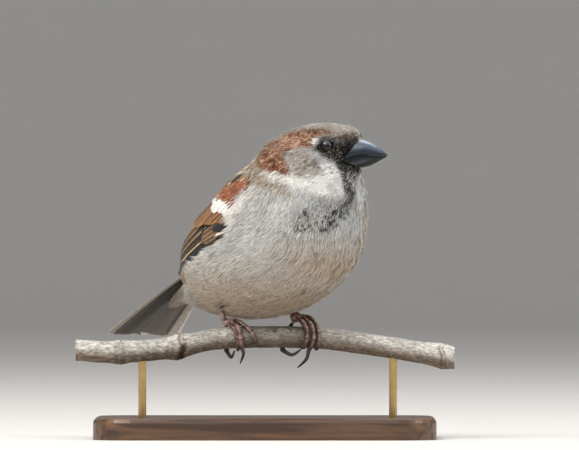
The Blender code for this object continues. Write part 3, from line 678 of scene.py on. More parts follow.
# Tufts rooted at stations t and angles a. Each strand starts at the skin, bends up to the
# plumage's surface and lies along it towards the tail.
def growTufts(t, a, rng, lift, heights):
    _, normalRoot, acrossRoot, stationLength, radianLength = surfaceFrame(t, a)
    length, width = tuftSize(t, straightSurface(t, a))
    n, k = len(t), coat["strands"]
    spread = rng.uniform(-1, 1, (n, k))
    size = (length * rng.uniform(0.8, 1.2, n))[:, None] * rng.uniform(0.75, 1.1, (n, k))
    # Direction: a slow wander over the body, a little of the tuft's own, and a slight fan. On the
    # flanks the feathers sweep back towards the tail instead of straight down.
    wander = 0.13 * np.sin(1.9 * t + 2.3 * a) + 0.10 * np.sin(4.1 * t - 5.0 * a + 1.0)
    low, high, below = ease((t - 3.4) / 1.6), ease((7.8 - t) / 1.4), ease((0.72 - backOf(a)) / 0.2)
    wander = wander + 0.20 * np.sin(a) * low * high * below
    swing = (wander + rng.normal(0, 0.07, n))[:, None] + spread * 0.08 + rng.normal(0, 0.035, (n, k))
    rootSide = spread * length[:, None] * 0.14
    s = np.array(coat["places"])
    alongMm = size[..., None] * s
    sideMm = rootSide[..., None] + (swing[..., None] * alongMm) * (0.4 + 0.6 * s)
    tt = t[:, None, None] - alongMm / stationLength[:, None, None]
    aa = a[:, None, None] + sideMm / np.maximum(radianLength[:, None, None], 1.0)
    # A few tufts stand off, and one at the collar's front sticks out most.
    stray = np.where((rng.random(n) < 0.045) & (t > 3.6), 4.2, 1.0)
    collarTuft = np.exp(-(((t - 8.95) / 0.10) ** 2) - ((a - 0.40) / 0.06) ** 2)
    stray = np.where(collarTuft > 0.55, 6.0, stray)
    tipLift = (lift * stray * rng.uniform(0.2, 1.0, n))[:, None, None] + rng.normal(0, 0.05, (n, k, 1))
    depth = coatDepth(t)[:, None, None] * 0.92
    rise = -depth * (1 - s) ** 2.2 + tipLift * s + readGrid(heights, tt, aa) + swell(tt, aa)
    place = turnHead(partRoundEye(straightSurface(tt, aa)), tt)
    _, normalTip, acrossTip, _, _ = surfaceFrame(tt[:, 0, 3], aa[:, 0, 3])
    normal, across = (
        np.broadcast_to(unit(blendOf(root[:, None, None], tip[:, None, None], s[:, None])), place.shape)
        for root, tip in ((normalRoot, normalTip), (acrossRoot, acrossTip))
    )
    rolled = unit(across + normal * rng.normal(0, 0.35, (n, k, 1, 1)))
    place = place + normal * rise[..., None]
    jitter = np.where(t > 9.4, 0.5, 0.35)[:, None, None]
    colour, bib = plumageColour(tt[..., 2], aa[..., 2], rng, jitter)
    colour = shadeTufts(colour, t, a, bib, rng)
    colour = colour[:, :, None] * np.array(coat["shades"])[:, None]
    flat = [v.reshape(n * k, len(s), -1) for v in (place, rolled, normal)]
    widths = (width[:, None] * rng.uniform(0.75, 1.2, (n, k))).ravel()
    return strandMesh(*flat, widths, colour.reshape(n * k, len(s), -1), np.repeat(skinUnwrap(t, a), k, 0))


# Varies each tuft and strand. Chestnut, black and bib feathers have pale or dark tips here and
# there, as worn winter feathers have.
def shadeTufts(colour, t, a, bib, rng):
    n, k = colour.shape[:2]

    # Whole tufts with one chance and single strands with another.
    def some(tuftChance, strandChance):
        return (rng.random((n, 1)) < tuftChance) | (rng.random((n, k)) < strandChance)

    value = colour.max(-1)
    colour = colour * rng.normal(1.0, 0.085, (n, 1, 1)) * rng.normal(1.0, 0.16, (n, k, 1))
    isBlack = ease((0.11 - value) / 0.06) * (t > 7.2)[:, None]
    redness = colour[..., 0] / np.maximum(colour[..., 2], 1e-4)
    isRed = ease((redness - 2.6) / 1.2) * (t > 7.5)[:, None]
    place = straightSurface(t, a)
    f, u = place[:, 0], place[:, 2]
    throat = ease((63.5 - u) / 2.0)[:, None]
    nearEye = np.exp(-(((f - 31.2) / 2.6) ** 2) - ((u - 69.4) / 1.8) ** 2)[:, None]
    paleTuft = some(0.05 + 0.17 * throat + 0.10 * nearEye, 0.05 + 0.10 * throat + 0.16 * nearEye)
    pale = tint(np.array(coat["greyTip"]), coat["whiteTip"], throat)
    lessByBill = np.where((behindBill(place) < 1.2) & (throat[:, 0] < 0.5), 0.3, 0.9)[:, None]
    colour = tint(colour, pale, isBlack * paleTuft * lessByBill)
    high = ease((u - 66.0) / 7.0) * ease((30.0 - f) / 5.0)
    buffTuft = some(0.10 + 0.22 * high[:, None], 0.16)
    colour = tint(colour, coat["buffTip"], isRed * buffTuft * 0.80)
    darkTuft = some(0.24, 0.20)
    colour = colour * (1 - 0.55 * (isRed * darkTuft)[..., None])
    # The cheek and the neck's side are streaked with darker strands.
    medium = ease((value - 0.28) / 0.1), ease((0.66 - value) / 0.1)
    cheek = ease((t - 7.6) / 0.6)[:, None] * medium[0] * medium[1] * (1 - isRed)
    colour = colour * (1 - 0.42 * (cheek * (rng.random((n, k)) < 0.33))[..., None])
    # The bib's feathers are black at the base with grey-white edges, so it looks speckled.
    crowd = 0.05 + sum(
        amount * np.exp(-(((place - at) ** 2).sum(-1) / size**2)) for *at, size, amount in bibSpecks
    )
    bibDark = some(0.9 * crowd[:, None], 0.15 * crowd[:, None])
    colour = tint(colour, coat["bibBlack"], 0.94 * (bibDark * ease((bib - 0.10) / 0.3)))
    rest = bib * (1 - bibDark) * (rng.random((n, k)) < 0.45)
    colour = tint(colour, coat["bibGrey"], 0.5 * rest)
    # Fine darker strands streak the neck's side, the flank and the belly, and light ones lie between.
    neck = ease((t - 7.0) / 0.6) * ease((8.9 - t) / 0.5) * ease((backOf(a) - 0.32) / 0.15)
    chance = blendOf(0.11 * ease((7.6 - t) / 0.4), 0.26, neck)[:, None]
    thin = (rng.random((n, k)) < chance) * (value > 0.2)
    colour = tint(colour, colour * np.array(coat["dark"]), thin)
    light = (rng.random((n, k)) < 0.12) * (value > 0.3) * (1 - isRed)
    colour = tint(colour, coat["light"], 0.45 * light)
    # The crown is finely flecked, and black flecks thicken over the forehead and lores to the bill.
    crown = ease((t - 8.4) / 0.6)[:, None] * ease((backOf(a) - 0.8) / 0.1)[:, None]
    fleck = crown * (rng.random((n, 1)) < 0.25)
    brow = ease((f - 35.5) / 4.0) * ease((76.5 - u) / 2.5) * ease((u - 69.0) / 2.0)
    colour = colour * (1 - 0.86 * (rng.random((n, 1)) < 0.6 * brow[:, None])[..., None])
    return np.clip(colour * (1 - 0.38 * fleck[..., None]), 0.004, 0.9)


# Roots spread by area over the whole surface, closer where the strands are smaller: an even walk
# down the running sum of each small cell's share.
def scatterRoots(rng):
    first, last, sides = -0.05, lastStation - 0.1, coat["rootSides"]
    t, a = gridOf(np.linspace(first, last, coat["rootRings"]), turnsOf(sides))
    _, _, _, stationLength, radianLength = surfaceFrame(t, a)
    length, width = tuftSize(t, straightSurface(t, a))
    span, cells = lastStation - 0.05, coat["rootRings"] - 1
    cell = stationLength * radianLength * span / cells * 2 * math.pi / sides
    need = cell * coat["cover"] / (coat["strands"] * length * width * 0.62)
    total = np.cumsum(need.ravel())
    count = int(total[-1])
    pick = np.searchsorted(total, (np.arange(count) + rng.random(count)) * total[-1] / count)
    pick = np.minimum(pick, need.size - 1)
    tt = t.ravel()[pick] + rng.uniform(-0.5, 0.5, count) * span / cells
    aa = a.ravel()[pick] + rng.uniform(-0.5, 0.5, count) * 2 * math.pi / sides
    return tt, aa % (2 * math.pi)


# The folded right wing's upper, middle and lower lines from the shoulder to the tip.
wing = {
    "upper": (
        (14.7, -15.5, 65.2), (0.5, -14.2, 57.4), (-12.5, -13.5, 48.6), (-26.4, -12.5, 37.4),
        (-33.4, -10.0, 25.9),
    ),
    "middle": (
        (20.0, -20.8, 58.0), (8.8, -22.4, 51.2), (-6.0, -22.4, 42.6), (-22.0, -19.3, 32.8),
        (-34.2, -11.2, 24.5),
    ),
    "lower": (
        (20.8, -22.8, 50.8), (12.5, -24.4, 41.5), (-1.0, -25.0, 31.5), (-18.5, -21.4, 24.6),
        (-34.6, -12.0, 23.2),
    ),
    "rows": 12, "columns": 7,
}


# The folded wing as a sheet: p from the shoulder to the tip, q from the upper edge to the lower, a
# parabola through its three lines.
def wingSheet(p, q):
    p, q = np.broadcast_arrays(np.asarray(p, float), np.asarray(q, float))
    upper, middle, lower = (smoothLine(wing[key], p * 4) for key in ("upper", "middle", "lower"))
    q = q[..., None]
    return upper * (1 - q) * (1 - 2 * q) + middle * 4 * q * (1 - q) + lower * q * (2 * q - 1)


# The sheet's place, its outward normal and its slope down the wing, from central differences.
def wingFrame(p, q):
    e = 0.004
    inner = np.clip(p, e, 1 - e)
    alongP = (wingSheet(inner + e, q) - wingSheet(inner - e, q)) / (2 * e)
    alongQ = (wingSheet(inner, q + e) - wingSheet(inner, q - e)) / (2 * e)
    return wingSheet(p, q), unit(np.cross(alongP, alongQ)), alongQ


# Half width along a vane as a share: it widens over its base, then rounds off at its tip.
def vaneOutline(s, base, tip):
    grow = np.clip(s / base, 0, 1) ** 0.55
    close = np.sqrt(np.clip(1 - np.clip((s - tip) / (1 - tip), 0, 1) ** 2.2, 0, 1))
    return np.maximum(grow * close, 0.03)


# Vanes lying on the wing sheet, each a grid of rows along by columns across. A row of feathers is
# root p and q, tip p and q, half width, lift at the root and at the tip, camber.
def wingVanes(feathers):
    s = np.linspace(0, 1, wing["rows"])[None, :, None]
    x = np.linspace(-1, 1, wing["columns"])[None, None, :]
    rootP, rootQ, tipP, tipQ, width, rootLift, tipLift, camber = feathers.T[:, :, None, None]
    p = rootP + (tipP - rootP) * s + 0 * x
    q = rootQ + (tipQ - rootQ) * s**1.15
    _, _, alongQ = wingFrame(p[..., 0], q[..., 0])
    perMm = 1 / np.maximum(np.linalg.norm(alongQ, axis=-1), 4.0)[..., None]
    half = width * vaneOutline(s, 0.3, 0.78)
    q = q + x * half * perMm
    # The vane's tip line bends back at the edges, so the end is rounded.
    p = p - 0.012 * x**2 * s
    place, normal, _ = wingFrame(np.clip(p, -0.05, 1.02), q)
    lift = rootLift + (tipLift - rootLift) * s + camber * (1 - x**2) * half / np.maximum(width, 0.1)
    return place + normal * lift[..., None]


# Unwraps vanes side by side in a square of cells, from each one's own unwrap.
def vaneAtlas(local):
    n = len(local)
    across = math.ceil(math.sqrt(n))
    cell = np.stack([np.arange(n) % across, np.arange(n) // across], -1)[:, None, None]
    return (cell + 0.05 + local * 0.9) / across


black, darkBrown, gold = (0.016, 0.012, 0.011), (0.045, 0.028, 0.018), (0.60, 0.38, 0.18)
# Root p and q, tip p and q, half width, lift, centre, edge, share of the half width before the edge.
wingPanel = (
    (0.42, 0.66, 0.86, 0.60, 1.9, 0.80, darkBrown, (0.64, 0.45, 0.24), 0.76),  # secondaries
    (0.42, 0.60, 0.86, 0.55, 1.6, 0.90, black, (0.20, 0.12, 0.06), 0.92),
    (0.42, 0.52, 0.85, 0.47, 1.9, 1.00, (0.10, 0.055, 0.028), (0.50, 0.31, 0.145), 0.50),
    (0.42, 0.47, 0.85, 0.42, 1.2, 1.12, black, (0.16, 0.09, 0.045), 0.90),
    (0.42, 0.36, 0.84, 0.35, 1.9, 1.22, (0.10, 0.055, 0.028), (0.48, 0.28, 0.12), 0.55),  # tertials
    (0.42, 0.28, 0.82, 0.27, 1.6, 1.34, (0.055, 0.032, 0.020), (0.36, 0.21, 0.10), 0.78),
    (0.42, 0.16, 0.80, 0.16, 2.3, 1.46, (0.17, 0.090, 0.045), (0.46, 0.29, 0.15), 0.62),
    (0.42, 0.04, 0.76, 0.03, 2.4, 1.60, (0.15, 0.080, 0.040), (0.50, 0.33, 0.19), 0.62),
    (0.38, 0.90, 0.55, 0.83, 1.2, 1.20, darkBrown, (0.22, 0.13, 0.07), 0.75),  # primary coverts
    (0.38, 0.84, 0.57, 0.77, 1.2, 1.35, (0.12, 0.070, 0.036), (0.33, 0.20, 0.10), 0.55),
    (0.38, 0.77, 0.58, 0.72, 1.2, 1.50, (0.15, 0.085, 0.042), (0.38, 0.23, 0.12), 0.50),
    (0.38, 0.70, 0.58, 0.66, 1.2, 1.65, (0.11, 0.062, 0.034), (0.35, 0.20, 0.10), 0.60),
    # A thin black vane across the panel is painted shadow at the edge of the tertials.
    (0.47, 0.47, 0.59, 0.70, 0.55, 1.80, black, black, 0.9),
    (0.29, 0.965, 0.46, 0.875, 0.75, 1.95, black, black, 0.9),
    (0.29, 0.915, 0.455, 0.835, 0.60, 2.15, (0.78, 0.72, 0.60), (0.80, 0.75, 0.64), 0.9),
)
# The same for the scapulars on the shoulder's top: buff, brown and one black one.
scapulars = (
    (0.04, 0.02, 0.22, 0.00, 1.6, 3.10, (0.56, 0.45, 0.33), (0.74, 0.66, 0.54), 0.5),
    (0.13, 0.08, 0.33, 0.04, 1.6, 3.15, (0.20, 0.115, 0.06), (0.66, 0.52, 0.36), 0.62),
    (0.22, 0.12, 0.45, 0.06, 1.5, 3.05, (0.26, 0.13, 0.06), (0.48, 0.30, 0.16), 0.55),
    (0.28, 0.03, 0.47, 0.00, 1.6, 3.00, (0.22, 0.12, 0.06), (0.44, 0.28, 0.15), 0.55),
    (0.08, 0.16, 0.27, 0.13, 1.2, 3.25, (0.020, 0.016, 0.015), (0.06, 0.04, 0.03), 0.85),
    (0.14, 0.22, 0.34, 0.17, 1.3, 3.10, (0.27, 0.12, 0.05), (0.44, 0.24, 0.11), 0.55),
    (0.05, 0.24, 0.20, 0.24, 1.3, 3.20, (0.30, 0.15, 0.07), (0.52, 0.36, 0.22), 0.55),
)
covertTones = {
    "greaterMiddle": (0.115, 0.052, 0.024), "greater": ((0.32, 0.135, 0.044), (0.41, 0.205, 0.080)),
    "alulaEdge": (0.035, 0.028, 0.026),
    "medianMiddle": (0.76, 0.74, 0.70), "medianEdge": (0.84, 0.82, 0.78),
    "lesser": ((0.32, 0.095, 0.035), (0.11, 0.034, 0.016)),
    "lesserEdge": ((0.38, 0.135, 0.050), (0.50, 0.27, 0.13)),
}
# Where the lesser coverts' lowest row ends: q, and the tips' p there.
lesserLine = (0, 0.2, 0.335, 0.525, 0.76), (0.475, 0.460, 0.375, 0.325, 0.29)
# Where the wing shows between the shoulder's, the mantle's and the flank's feathers: for each p,
# the upper and lower q of the bare part.
wingShows = np.array((
    (0.0, 0.5, 0.5), (0.06, 0.46, 0.48), (0.12, 0.34, 0.53), (0.22, 0.18, 0.53), (0.285, 0.08, 0.6),
    (0.305, 0.07, 0.78), (0.33, 0.04, 0.9), (0.37, 0.0, 1.0), (0.44, -0.1, 0.95), (0.54, -0.1, 0.87),
    (0.66, -0.1, 0.9), (0.74, -0.1, 0.955), (1.0, -0.1, 1.02),
)).T


def toneBetween(pair, share):
    return blendOf(np.array(pair[0]), np.array(pair[1]), share)


# Every row of the folded wing, from the longest primaries out to the lesser coverts on top. The
# rows' tips step down from the upper rear to the lower front.
def wingFeathers(rng):
    rows, centres, edges = [], [], []

    def add(rootP, rootQ, tipP, tipQ, half, rootLift, tipLift, camber, middle, edge, share):
        rows.append((rootP, rootQ, tipP, tipQ, half, rootLift, tipLift, camber))
        centres.append((*middle, share))
        edges.append(edge)

    for k in range(8):  # primaries, the outermost lowest, black with thin gold edges
        x = k / 7
        tipP, tipQ = 1.0 - 0.15 * abs(x - 0.25), 0.99 - 0.34 * x
        edgeShare = 0.84 if k % 2 else 0.90
        add(0.40, 0.97 - 0.30 * x, tipP, tipQ, 1.7, 0.05 + 0.08 * k, 0.09 * k, 0.2, black, gold, edgeShare)
    for *spot, half, lift, middle, edge, share in wingPanel:
        add(*spot, half, lift, lift + 0.05, 0.25, middle, edge, share)
    for k in range(13):  # greater coverts, rufous with fine dark centres
        q = 0.02 + 0.058 * k
        tip = 0.655 - 0.10 * q - 0.55 * max(q - 0.38, 0) + 0.008 * math.sin(k * 2.1)
        edge = toneBetween(covertTones["greater"], rng.random())
        half, middle = 1.35 + 0.35 * rng.random(), covertTones["greaterMiddle"]
        lifts = 1.95 + 0.03 * k, 2.15 + 0.02 * (9 - k)
        add(tip - 0.28, q - 0.02, tip, q + 0.012, half, *lifts, 0.4, middle, edge, 0.18 + 0.30 * rng.random())
    for k in range(2):  # alula, lying over the last of them
        spot = 0.28, 0.86 + 0.035 * k, 0.462 - 0.03 * k, 0.73 + 0.06 * k
        add(*spot, 1.15, 2.55, 2.45, 0.35, black, covertTones["alulaEdge"], 0.9)
    for k in range(10):  # median coverts with broad white tips
        q = 0.082 * k
        tip = 0.470 - 0.04 * q - 0.34 * max(q - 0.38, 0) + 0.010 * math.sin(k * 1.7)
        half, lifts = 1.5 if k == 0 else 2.2, (2.3 + 0.02 * k, 2.62 + 0.03 * (k % 2))
        middle, edge = covertTones["medianMiddle"], covertTones["medianEdge"]
        add(tip - 0.13, q, tip, q + 0.01, half, *lifts, 0.5, middle, edge, 0.5)
    for row in range(14):  # lesser coverts
        for k in range(14):
            q = -0.01 + 0.058 * (k + 0.5 * (row % 2))
            tip = np.interp(q, *lesserLine) - 0.034 * row + 0.008 * math.sin(3.1 * k + row)
            low, high = (np.interp(tip - 0.01, wingShows[0], line) for line in wingShows[1:])
            if tip < 0.10 or not low - 0.10 < q < high + 0.03:
                continue
            middle = toneBetween(covertTones["lesser"], rng.random())
            edge = toneBetween(covertTones["lesserEdge"], rng.random() ** 2)
            half, lift = 0.55 + 0.5 * rng.random(), 2.75 + 0.016 * row
            add(tip - 0.10, q + 0.01, tip, q, half, 2.35, lift, 0.45, middle, edge, 0.35 + 0.4 * rng.random())
    for *spot, half, lift, middle, edge, share in scapulars:
        add(*spot, half, lift - 0.5, lift, 0.3, middle, edge, share)
    return np.array(rows), np.array(centres), np.array(edges)


def buildWings(material):
    rows, centre, edge = wingFeathers(np.random.default_rng(21))
    grid = wingVanes(rows)
    n, m, c = grid.shape[:3]
    local = np.broadcast_to(unitGrid(m, c)[..., ::-1], (n, m, c, 2))
    centre, edge = (np.broadcast_to(v[:, None, None], (n, m, c, v.shape[1])) for v in (centre, edge))
    for side, word in ((1, "right"), (-1, "left")):
        addMesh(
            f"wing_feathers_{word}", toWorld(grid * (1, side, 1)),
            [repeatFaces(gridFaces(m, c, flip=side < 0), n, m * c)], material,
            [f"wing_{word}_{layer}" for layer in ("coverts", "secondaries", "primaries")],
            uvs={"vane": local, "OFBake": vaneAtlas(local)}, colours={"centre": centre, "edge": edge},
        )
    print("wings:", n, "vanes each")


tail = {
    "root": (-19.0, 35.7), "slope": 36.5, "length": 60.0, "fan": 13.6, "roof": 1.0,
    "start": 19.0, "rootFan": 1.5, "tipSpread": 4.75, "shaftRoom": 3.4,
    "feathers": 12, "rootHalf": 1.6, "halfWidth": 5.6, "rows": 26, "columns": 17,
    "right": (0.070, 0.064, 0.058), "left": (0.125, 0.098, 0.076), "outerWeb": (0.46, 0.405, 0.335),
    "stripe": (0.028, 0.022, 0.018), "tips": (0.34, 0.30, 0.25), "spot": (0.85, 0.82, 0.78),
    "edge": (0.12, 0.10, 0.085), "outerEdge": (0.84, 0.82, 0.78),
}


# Twelve rectrices fanned out. Feather k lies at share c of the fan's half width, which grows with
# the reach to the power 1.45. The outer ones lie below the middle pair, and the right edge is
# raised and bowed.
def buildTail(material):
    k = np.arange(tail["feathers"])[:, None, None]
    s = np.linspace(0, 1, tail["rows"])[None, :, None]
    x = np.linspace(-1, 1, tail["columns"])[None, None, :]
    share = (k + 0.5) / tail["feathers"] * 2 - 1
    onLeft = share > 0
    notch = np.where(k == 6, -0.6, 1.6) * hump(share, 0, 0.3)
    short = 0.9 * np.clip((np.abs(share) - 0.8) / 0.12, 0, 1)
    reach = tail["start"] + (tail["length"] - tail["start"] - notch - short) * s
    reached = reach / tail["length"]
    halfTip = tail["length"] * math.sin(math.radians(tail["fan"])) + tail["tipSpread"]
    halfFan = tail["rootFan"] + (halfTip - tail["rootFan"]) * reached ** 1.45
    room = halfFan - tail["shaftRoom"]
    half = blendOf(tail["rootHalf"], tail["halfWidth"], ease(reached * 1.2)) * vaneOutline(s, 0.12, 0.93)
    side = share * room * np.where(onLeft, 0.96, 1.08) + x * half
    order = np.abs(k - 5.5) - 0.5 + 0.35 * (k > 5)
    across = np.clip(side / np.maximum(room, 1.0) / 1.08, -1.4, 1.4)
    raised = (1.5 + 0.9 * np.sin(math.pi * s) - 0.5 * s) * ease((-across - 0.30) / 0.55)
    drop = tail["roof"] * across**2 * reach / tail["length"] + 0.07 * order - raised
    slope = math.radians(tail["slope"])
    f = tail["root"][0] - reach * math.cos(slope) + drop * math.sin(slope) * 0.8
    u = tail["root"][1] - reach * math.sin(slope) - drop * math.cos(slope) + 0.45
    place = np.stack([f + 0 * x, side, u + 0 * x], -1)
    n, m, c = place.shape[:3]
    local = np.broadcast_to(unitGrid(m, c)[..., ::-1], (n, m, c, 2))
    bake = vaneAtlas(local)
    # The outermost feathers' shafts run near their outer edges, so their outer webs are narrow.
    last = ease((np.abs(share) - 0.85) / 0.05)
    shaft = last * np.where(onLeft, 0.60 - 0.72 * s**1.3, -0.34 + 0.36 * s) + 0 * x
    fromShaft = np.where(x < shaft, (x - shaft) / (1 + shaft), (x - shaft) / (1 - shaft))
    local = np.stack([0.5 + 0.5 * fromShaft, local[..., 1]], -1)
    # The outermost feather on each side has a pale outer web edged white, beside a dark shaft
    # stripe. The rest are dark grey on the right and browner on the left, with thin pale tips.
    outer = last * ease((fromShaft * np.sign(share) - 0.03) / 0.15)
    plain = tint(np.array(tail["right"]), tail["left"], ease(share * 2.0 + 0.4))
    plain = plain * (1 + 0.25 * ease((1 - np.abs(x)) / 0.9) + 0 * share * s)[..., None]
    colour = tint(plain, tail["outerWeb"], outer)
    stripe = last * hump(x - shaft + 0.06 * np.sign(share), 0, np.where(onLeft, 0.18, 0.08))
    colour = tint(colour, tail["stripe"], 0.85 * stripe)
    colour = tint(colour, tail["tips"], 0.45 * (ease((s - 0.95) / 0.05) + 0 * share * x))
    spot = ease((s - 0.93) / 0.04) * hump(k, 6, 0.3) * ease((x + 0.5) / 0.3)
    colour = tint(colour, tail["spot"], spot)
    centre = np.concatenate([colour, blendOf(0.97, 0.84, outer)[..., None]], -1)
    edge = tint(np.array(tail["edge"]), tail["outerEdge"], outer)
    addMesh(
        "tail_feathers", toWorld(place), [repeatFaces(gridFaces(m, c, flip=True), n, m * c)], material,
        ("tail",),
        uvs={"vane": local, "OFBake": bake}, colours={"centre": centre, "edge": edge},
    )


wingCover = {
    "outer": 2.95, "rear": 1.6, "slope": 0.5, "flat": 0.8,  # height over the wing's sheet, and its fall
    "reach": 9, "bareReach": 3.4, "tipReach": 1.6, "lastStation": 9,
    "gridT": 130, "gridA": 160, "blur": 3,
}


# For roots on the body: how much the wing's outside stands above the surface there, easing down a
# slope past its edges, and the nearest wing place p, q with its distance.
def wingOver(t, a):
    p, q = gridOf(np.linspace(0.0, 0.97, 66), np.linspace(0.0, 1.0, 28))
    place, out, _ = wingFrame(p, q)
    standOff = blendOf(wingCover["outer"], wingCover["rear"], ease((p + 0.3 * q - 0.55) / 0.25))
    top = (place + out * standOff[..., None]).reshape(-1, 3)
    place = place.reshape(-1, 3)
    point, normal, _, _, _ = surfaceFrame(t, a)
    mirror = np.stack([np.ones_like(a), np.where(point[..., 1] > 0, -1, 1), np.ones_like(a)], -1)
    point, normal = point * mirror, normal * mirror
    high, nearest, away = np.empty(len(t)), np.empty(len(t), int), np.empty(len(t))
    for block in np.array_split(np.arange(len(t)), 40):
        off = top[None] - point[block][:, None]
        above = (off * normal[block][:, None]).sum(-1)
        aside = np.sqrt(np.maximum((off**2).sum(-1) - above**2, 0))
        sloped = above - wingCover["slope"] * np.maximum(aside - wingCover["flat"], 0)
        high[block] = np.where((aside < wingCover["reach"]) & (above > -3), sloped, -9).max(1)
        gap = ((place[None] - point[block][:, None]) ** 2).sum(-1)
        nearest[block], away[block] = gap.argmin(1), np.sqrt(gap.min(1))
    return np.maximum(high, 0), p.ravel()[nearest], q.ravel()[nearest], away


# Two grids over the body: the height that the coat has to rise to lie over the wings, and where a
# wing is bare.
def wingGrids():
    t, a = gridOf(np.linspace(0, wingCover["lastStation"], wingCover["gridT"]), turnsOf(wingCover["gridA"]))
    high, p, q, away = (v.reshape(t.shape) for v in wingOver(t.ravel(), a.ravel()))
    low, top = (np.interp(p, wingShows[0], line) for line in wingShows[1:])
    bare = (away < wingCover["bareReach"]) & (q > low) & (q < top)
    bare = bare & ((q < 0.995) | (away < wingCover["tipReach"])) & (t < 8.4)
    for _ in range(wingCover["blur"]):
        high = (high + np.roll(high, 1, 1) + np.roll(high, -1, 1)) / 3
        padded = np.pad(high, ((1, 1), (0, 0)), mode="edge")
        high = (high + padded[2:] + padded[:-2]) / 3
    return high * (1 - ease((t - 8) / 0.8)), bare.astype(float)


# Bilinear reading of a grid over the body at stations and angles.
def readGrid(grid, t, a):
    x = np.clip(t / wingCover["lastStation"], 0, 1) * (grid.shape[0] - 1)
    y = (a / (2 * math.pi)) % 1.0 * grid.shape[1]
    i, j = np.minimum(x.astype(int), grid.shape[0] - 2), np.minimum(y.astype(int), grid.shape[1] - 1)
    x, y, nextJ = x - i, y - j, (j + 1) % grid.shape[1]
    low = grid[i, j] * (1 - y) + grid[i, nextJ] * y
    high = grid[i + 1, j] * (1 - y) + grid[i + 1, nextJ] * y
    return low * (1 - x) + high * x


# Nine pieces of coat, from roots that are neither under the bill, on a bare part of a wing, in the
# eye's parting nor on the tail.
def buildCoat(material):
    rng = np.random.default_rng(coat["seed"])
    t, a = scatterRoots(rng)
    heights, bare = wingGrids()
    _, _, _, stationLength, _ = surfaceFrame(t, a)
    straight = straightSurface(t, a)
    length, _ = tuftSize(t, straight)
    keep = (behindBill(straight) > 0.12) & (t > 0.55 + 0.7 * rng.random(len(t)) ** 2)
    for share in (0, 0.5, 0.9):
        keep &= readGrid(bare, t - share * length / stationLength, a) < 0.5
    toEye = np.hypot(straight[:, 0] - eye["partF"], straight[:, 2] - eye["partU"])
    keep &= (toEye > eye["part"]) | (np.abs(np.sin(a)) < 0.5)
    t, a = t[keep], a[keep]
    back = backOf(a)
    starts = [coat[key] for key in ("bellyFrom", "breastFrom", "neckFrom", "headFrom")]
    stations = [-np.inf] + starts + [np.inf]
    vent, belly, breast, neck, head = ((t > low) & (t <= high) for low, high in zip(stations, stations[1:]))
    below, flank, upper = back < coat["flankFrom"], back < coat["backFrom"], back >= coat["backFrom"]
    regions = {
        "face": head & flank,
        "crown": head & upper,
        "throat": neck & (back < coat["napeFrom"]),
        "nape": neck & (back >= coat["napeFrom"]),
        "breast": breast & flank,
        "belly": belly & below,
        "flanks": belly & ~below & flank,
        "vent": vent & flank,
        "mantle": (vent | belly | breast) & upper,
    }
    for name, inside in regions.items():
        lift = coat["headLift"] if name in ("face", "crown") else coat["trunkLift"]
        points, faces, normals, colour, uv = growTufts(t[inside], a[inside], rng, lift, heights)
        addMesh(
            f"coat_{name}", toWorld(points), faces, material,
            uvs={"OFBake": uv}, colours={"plume": colour}, normals=directionToWorld(normals),
        )
        print("coat", name, inside.sum(), "tufts,", inside.sum() * coat["strands"] * 5, "triangles")


# Each mandible is a row of arches standing on the line where the halves meet: along, up and out
# follow sin and cos of the arch's angle, from the gape to the tip.
def buildBill(material):
    rings, sides = bill["rings"], bill["sides"]
    t = np.linspace(0, 3, rings)[:, None]
    angle = np.linspace(0, math.pi, sides)[None, :]
    arch = np.sin(angle) ** 0.85
    half = smoothLine(bill["halfWidth"], t[:, 0])
    for name, line, side in (("bill_upper", bill["ridge"], 1), ("bill_lower", bill["keel"], -1)):
        upper = side > 0
        top = smoothLine(line, t[:, 0])
        foot = smoothLine(bill["meeting"], t[:, 0]) + (0, side * bill["gap"])
        # The upper half's cutting edges roll in a little.
        roll = 1 - (0.09 if upper else 0.0) * hump(arch, 0, 0.10)
        along, up = (foot[:, i, None] + (top[:, i, None] - foot[:, i, None]) * arch for i in (0, 1))
        place = np.stack([along, np.cos(angle) * half * roll, up], -1)
        off = (((np.abs(place[..., i]) - at) / width) ** 2 for i, (at, width) in enumerate(bill["nostril"]))
        nostril = np.exp(-sum(off))
        place = turnHead(place, np.full(place.shape[:2], body["faceStation"]))
        # The inside is one strip between the cutting edges, and each end is a cap.
        start, ring = np.arange(rings - 1) * sides, np.arange(sides)[None]
        inner = np.stack([start, start + sides, start + 2 * sides - 1, start + sides - 1], -1)
        caps = [ring[:, ::-side], (ring + (rings - 1) * sides)[:, ::side]]
        faces = [gridFaces(rings, sides)[:, ::side], inner[:, ::side], *caps]
        full = np.ones(place.shape[:2])
        # Painted shade: each half is darker towards the line where the halves meet.
        edge = ease(((0.74 if upper else 0.30) - arch) / (0.5 if upper else 0.2)) * full
        colour = np.array(bill[name]) * (1 - 0.72 * edge[..., None])
        colour = colour * (1 - 0.30 * ease((t - 2.0) / 1.0)[..., None])
        if upper:
            # Painted shade: the nostril's pit is a dark spot.
            colour = colour * (1 - 0.6 * nostril[..., None])
            # Painted highlight: a pale blue-grey streak along the ridge towards the base.
            ridgeHighlight = ease((arch - 0.84) / 0.14) * ease((2.3 - t) / 1.8)
            colour = tint(colour, bill["ridgeHighlight"], 0.8 * ridgeHighlight)
        else:
            # Painted highlight: a soft grey band along the lower half's side towards the base.
            lowerHighlight = hump(arch, 0.55, 0.13) * ease((1.9 - t) / 1.2)
            colour = tint(colour, bill["lowerHighlight"], 0.7 * lowerHighlight)
        # Painted shade: a near-black line along the cutting edges for the gap between the halves.
        colour = tint(colour, bill["gapShade"], ease((0.09 - arch) / 0.07) * full)
        obj = addMesh(
            name + "_horn", toWorld(place), faces, material, (name,),
            uvs={"OFBake": unitGrid(rings, sides)}, colours={"tone": colour},
        )
        obj.data.set_sharp_from_angle(angle=math.radians(45))


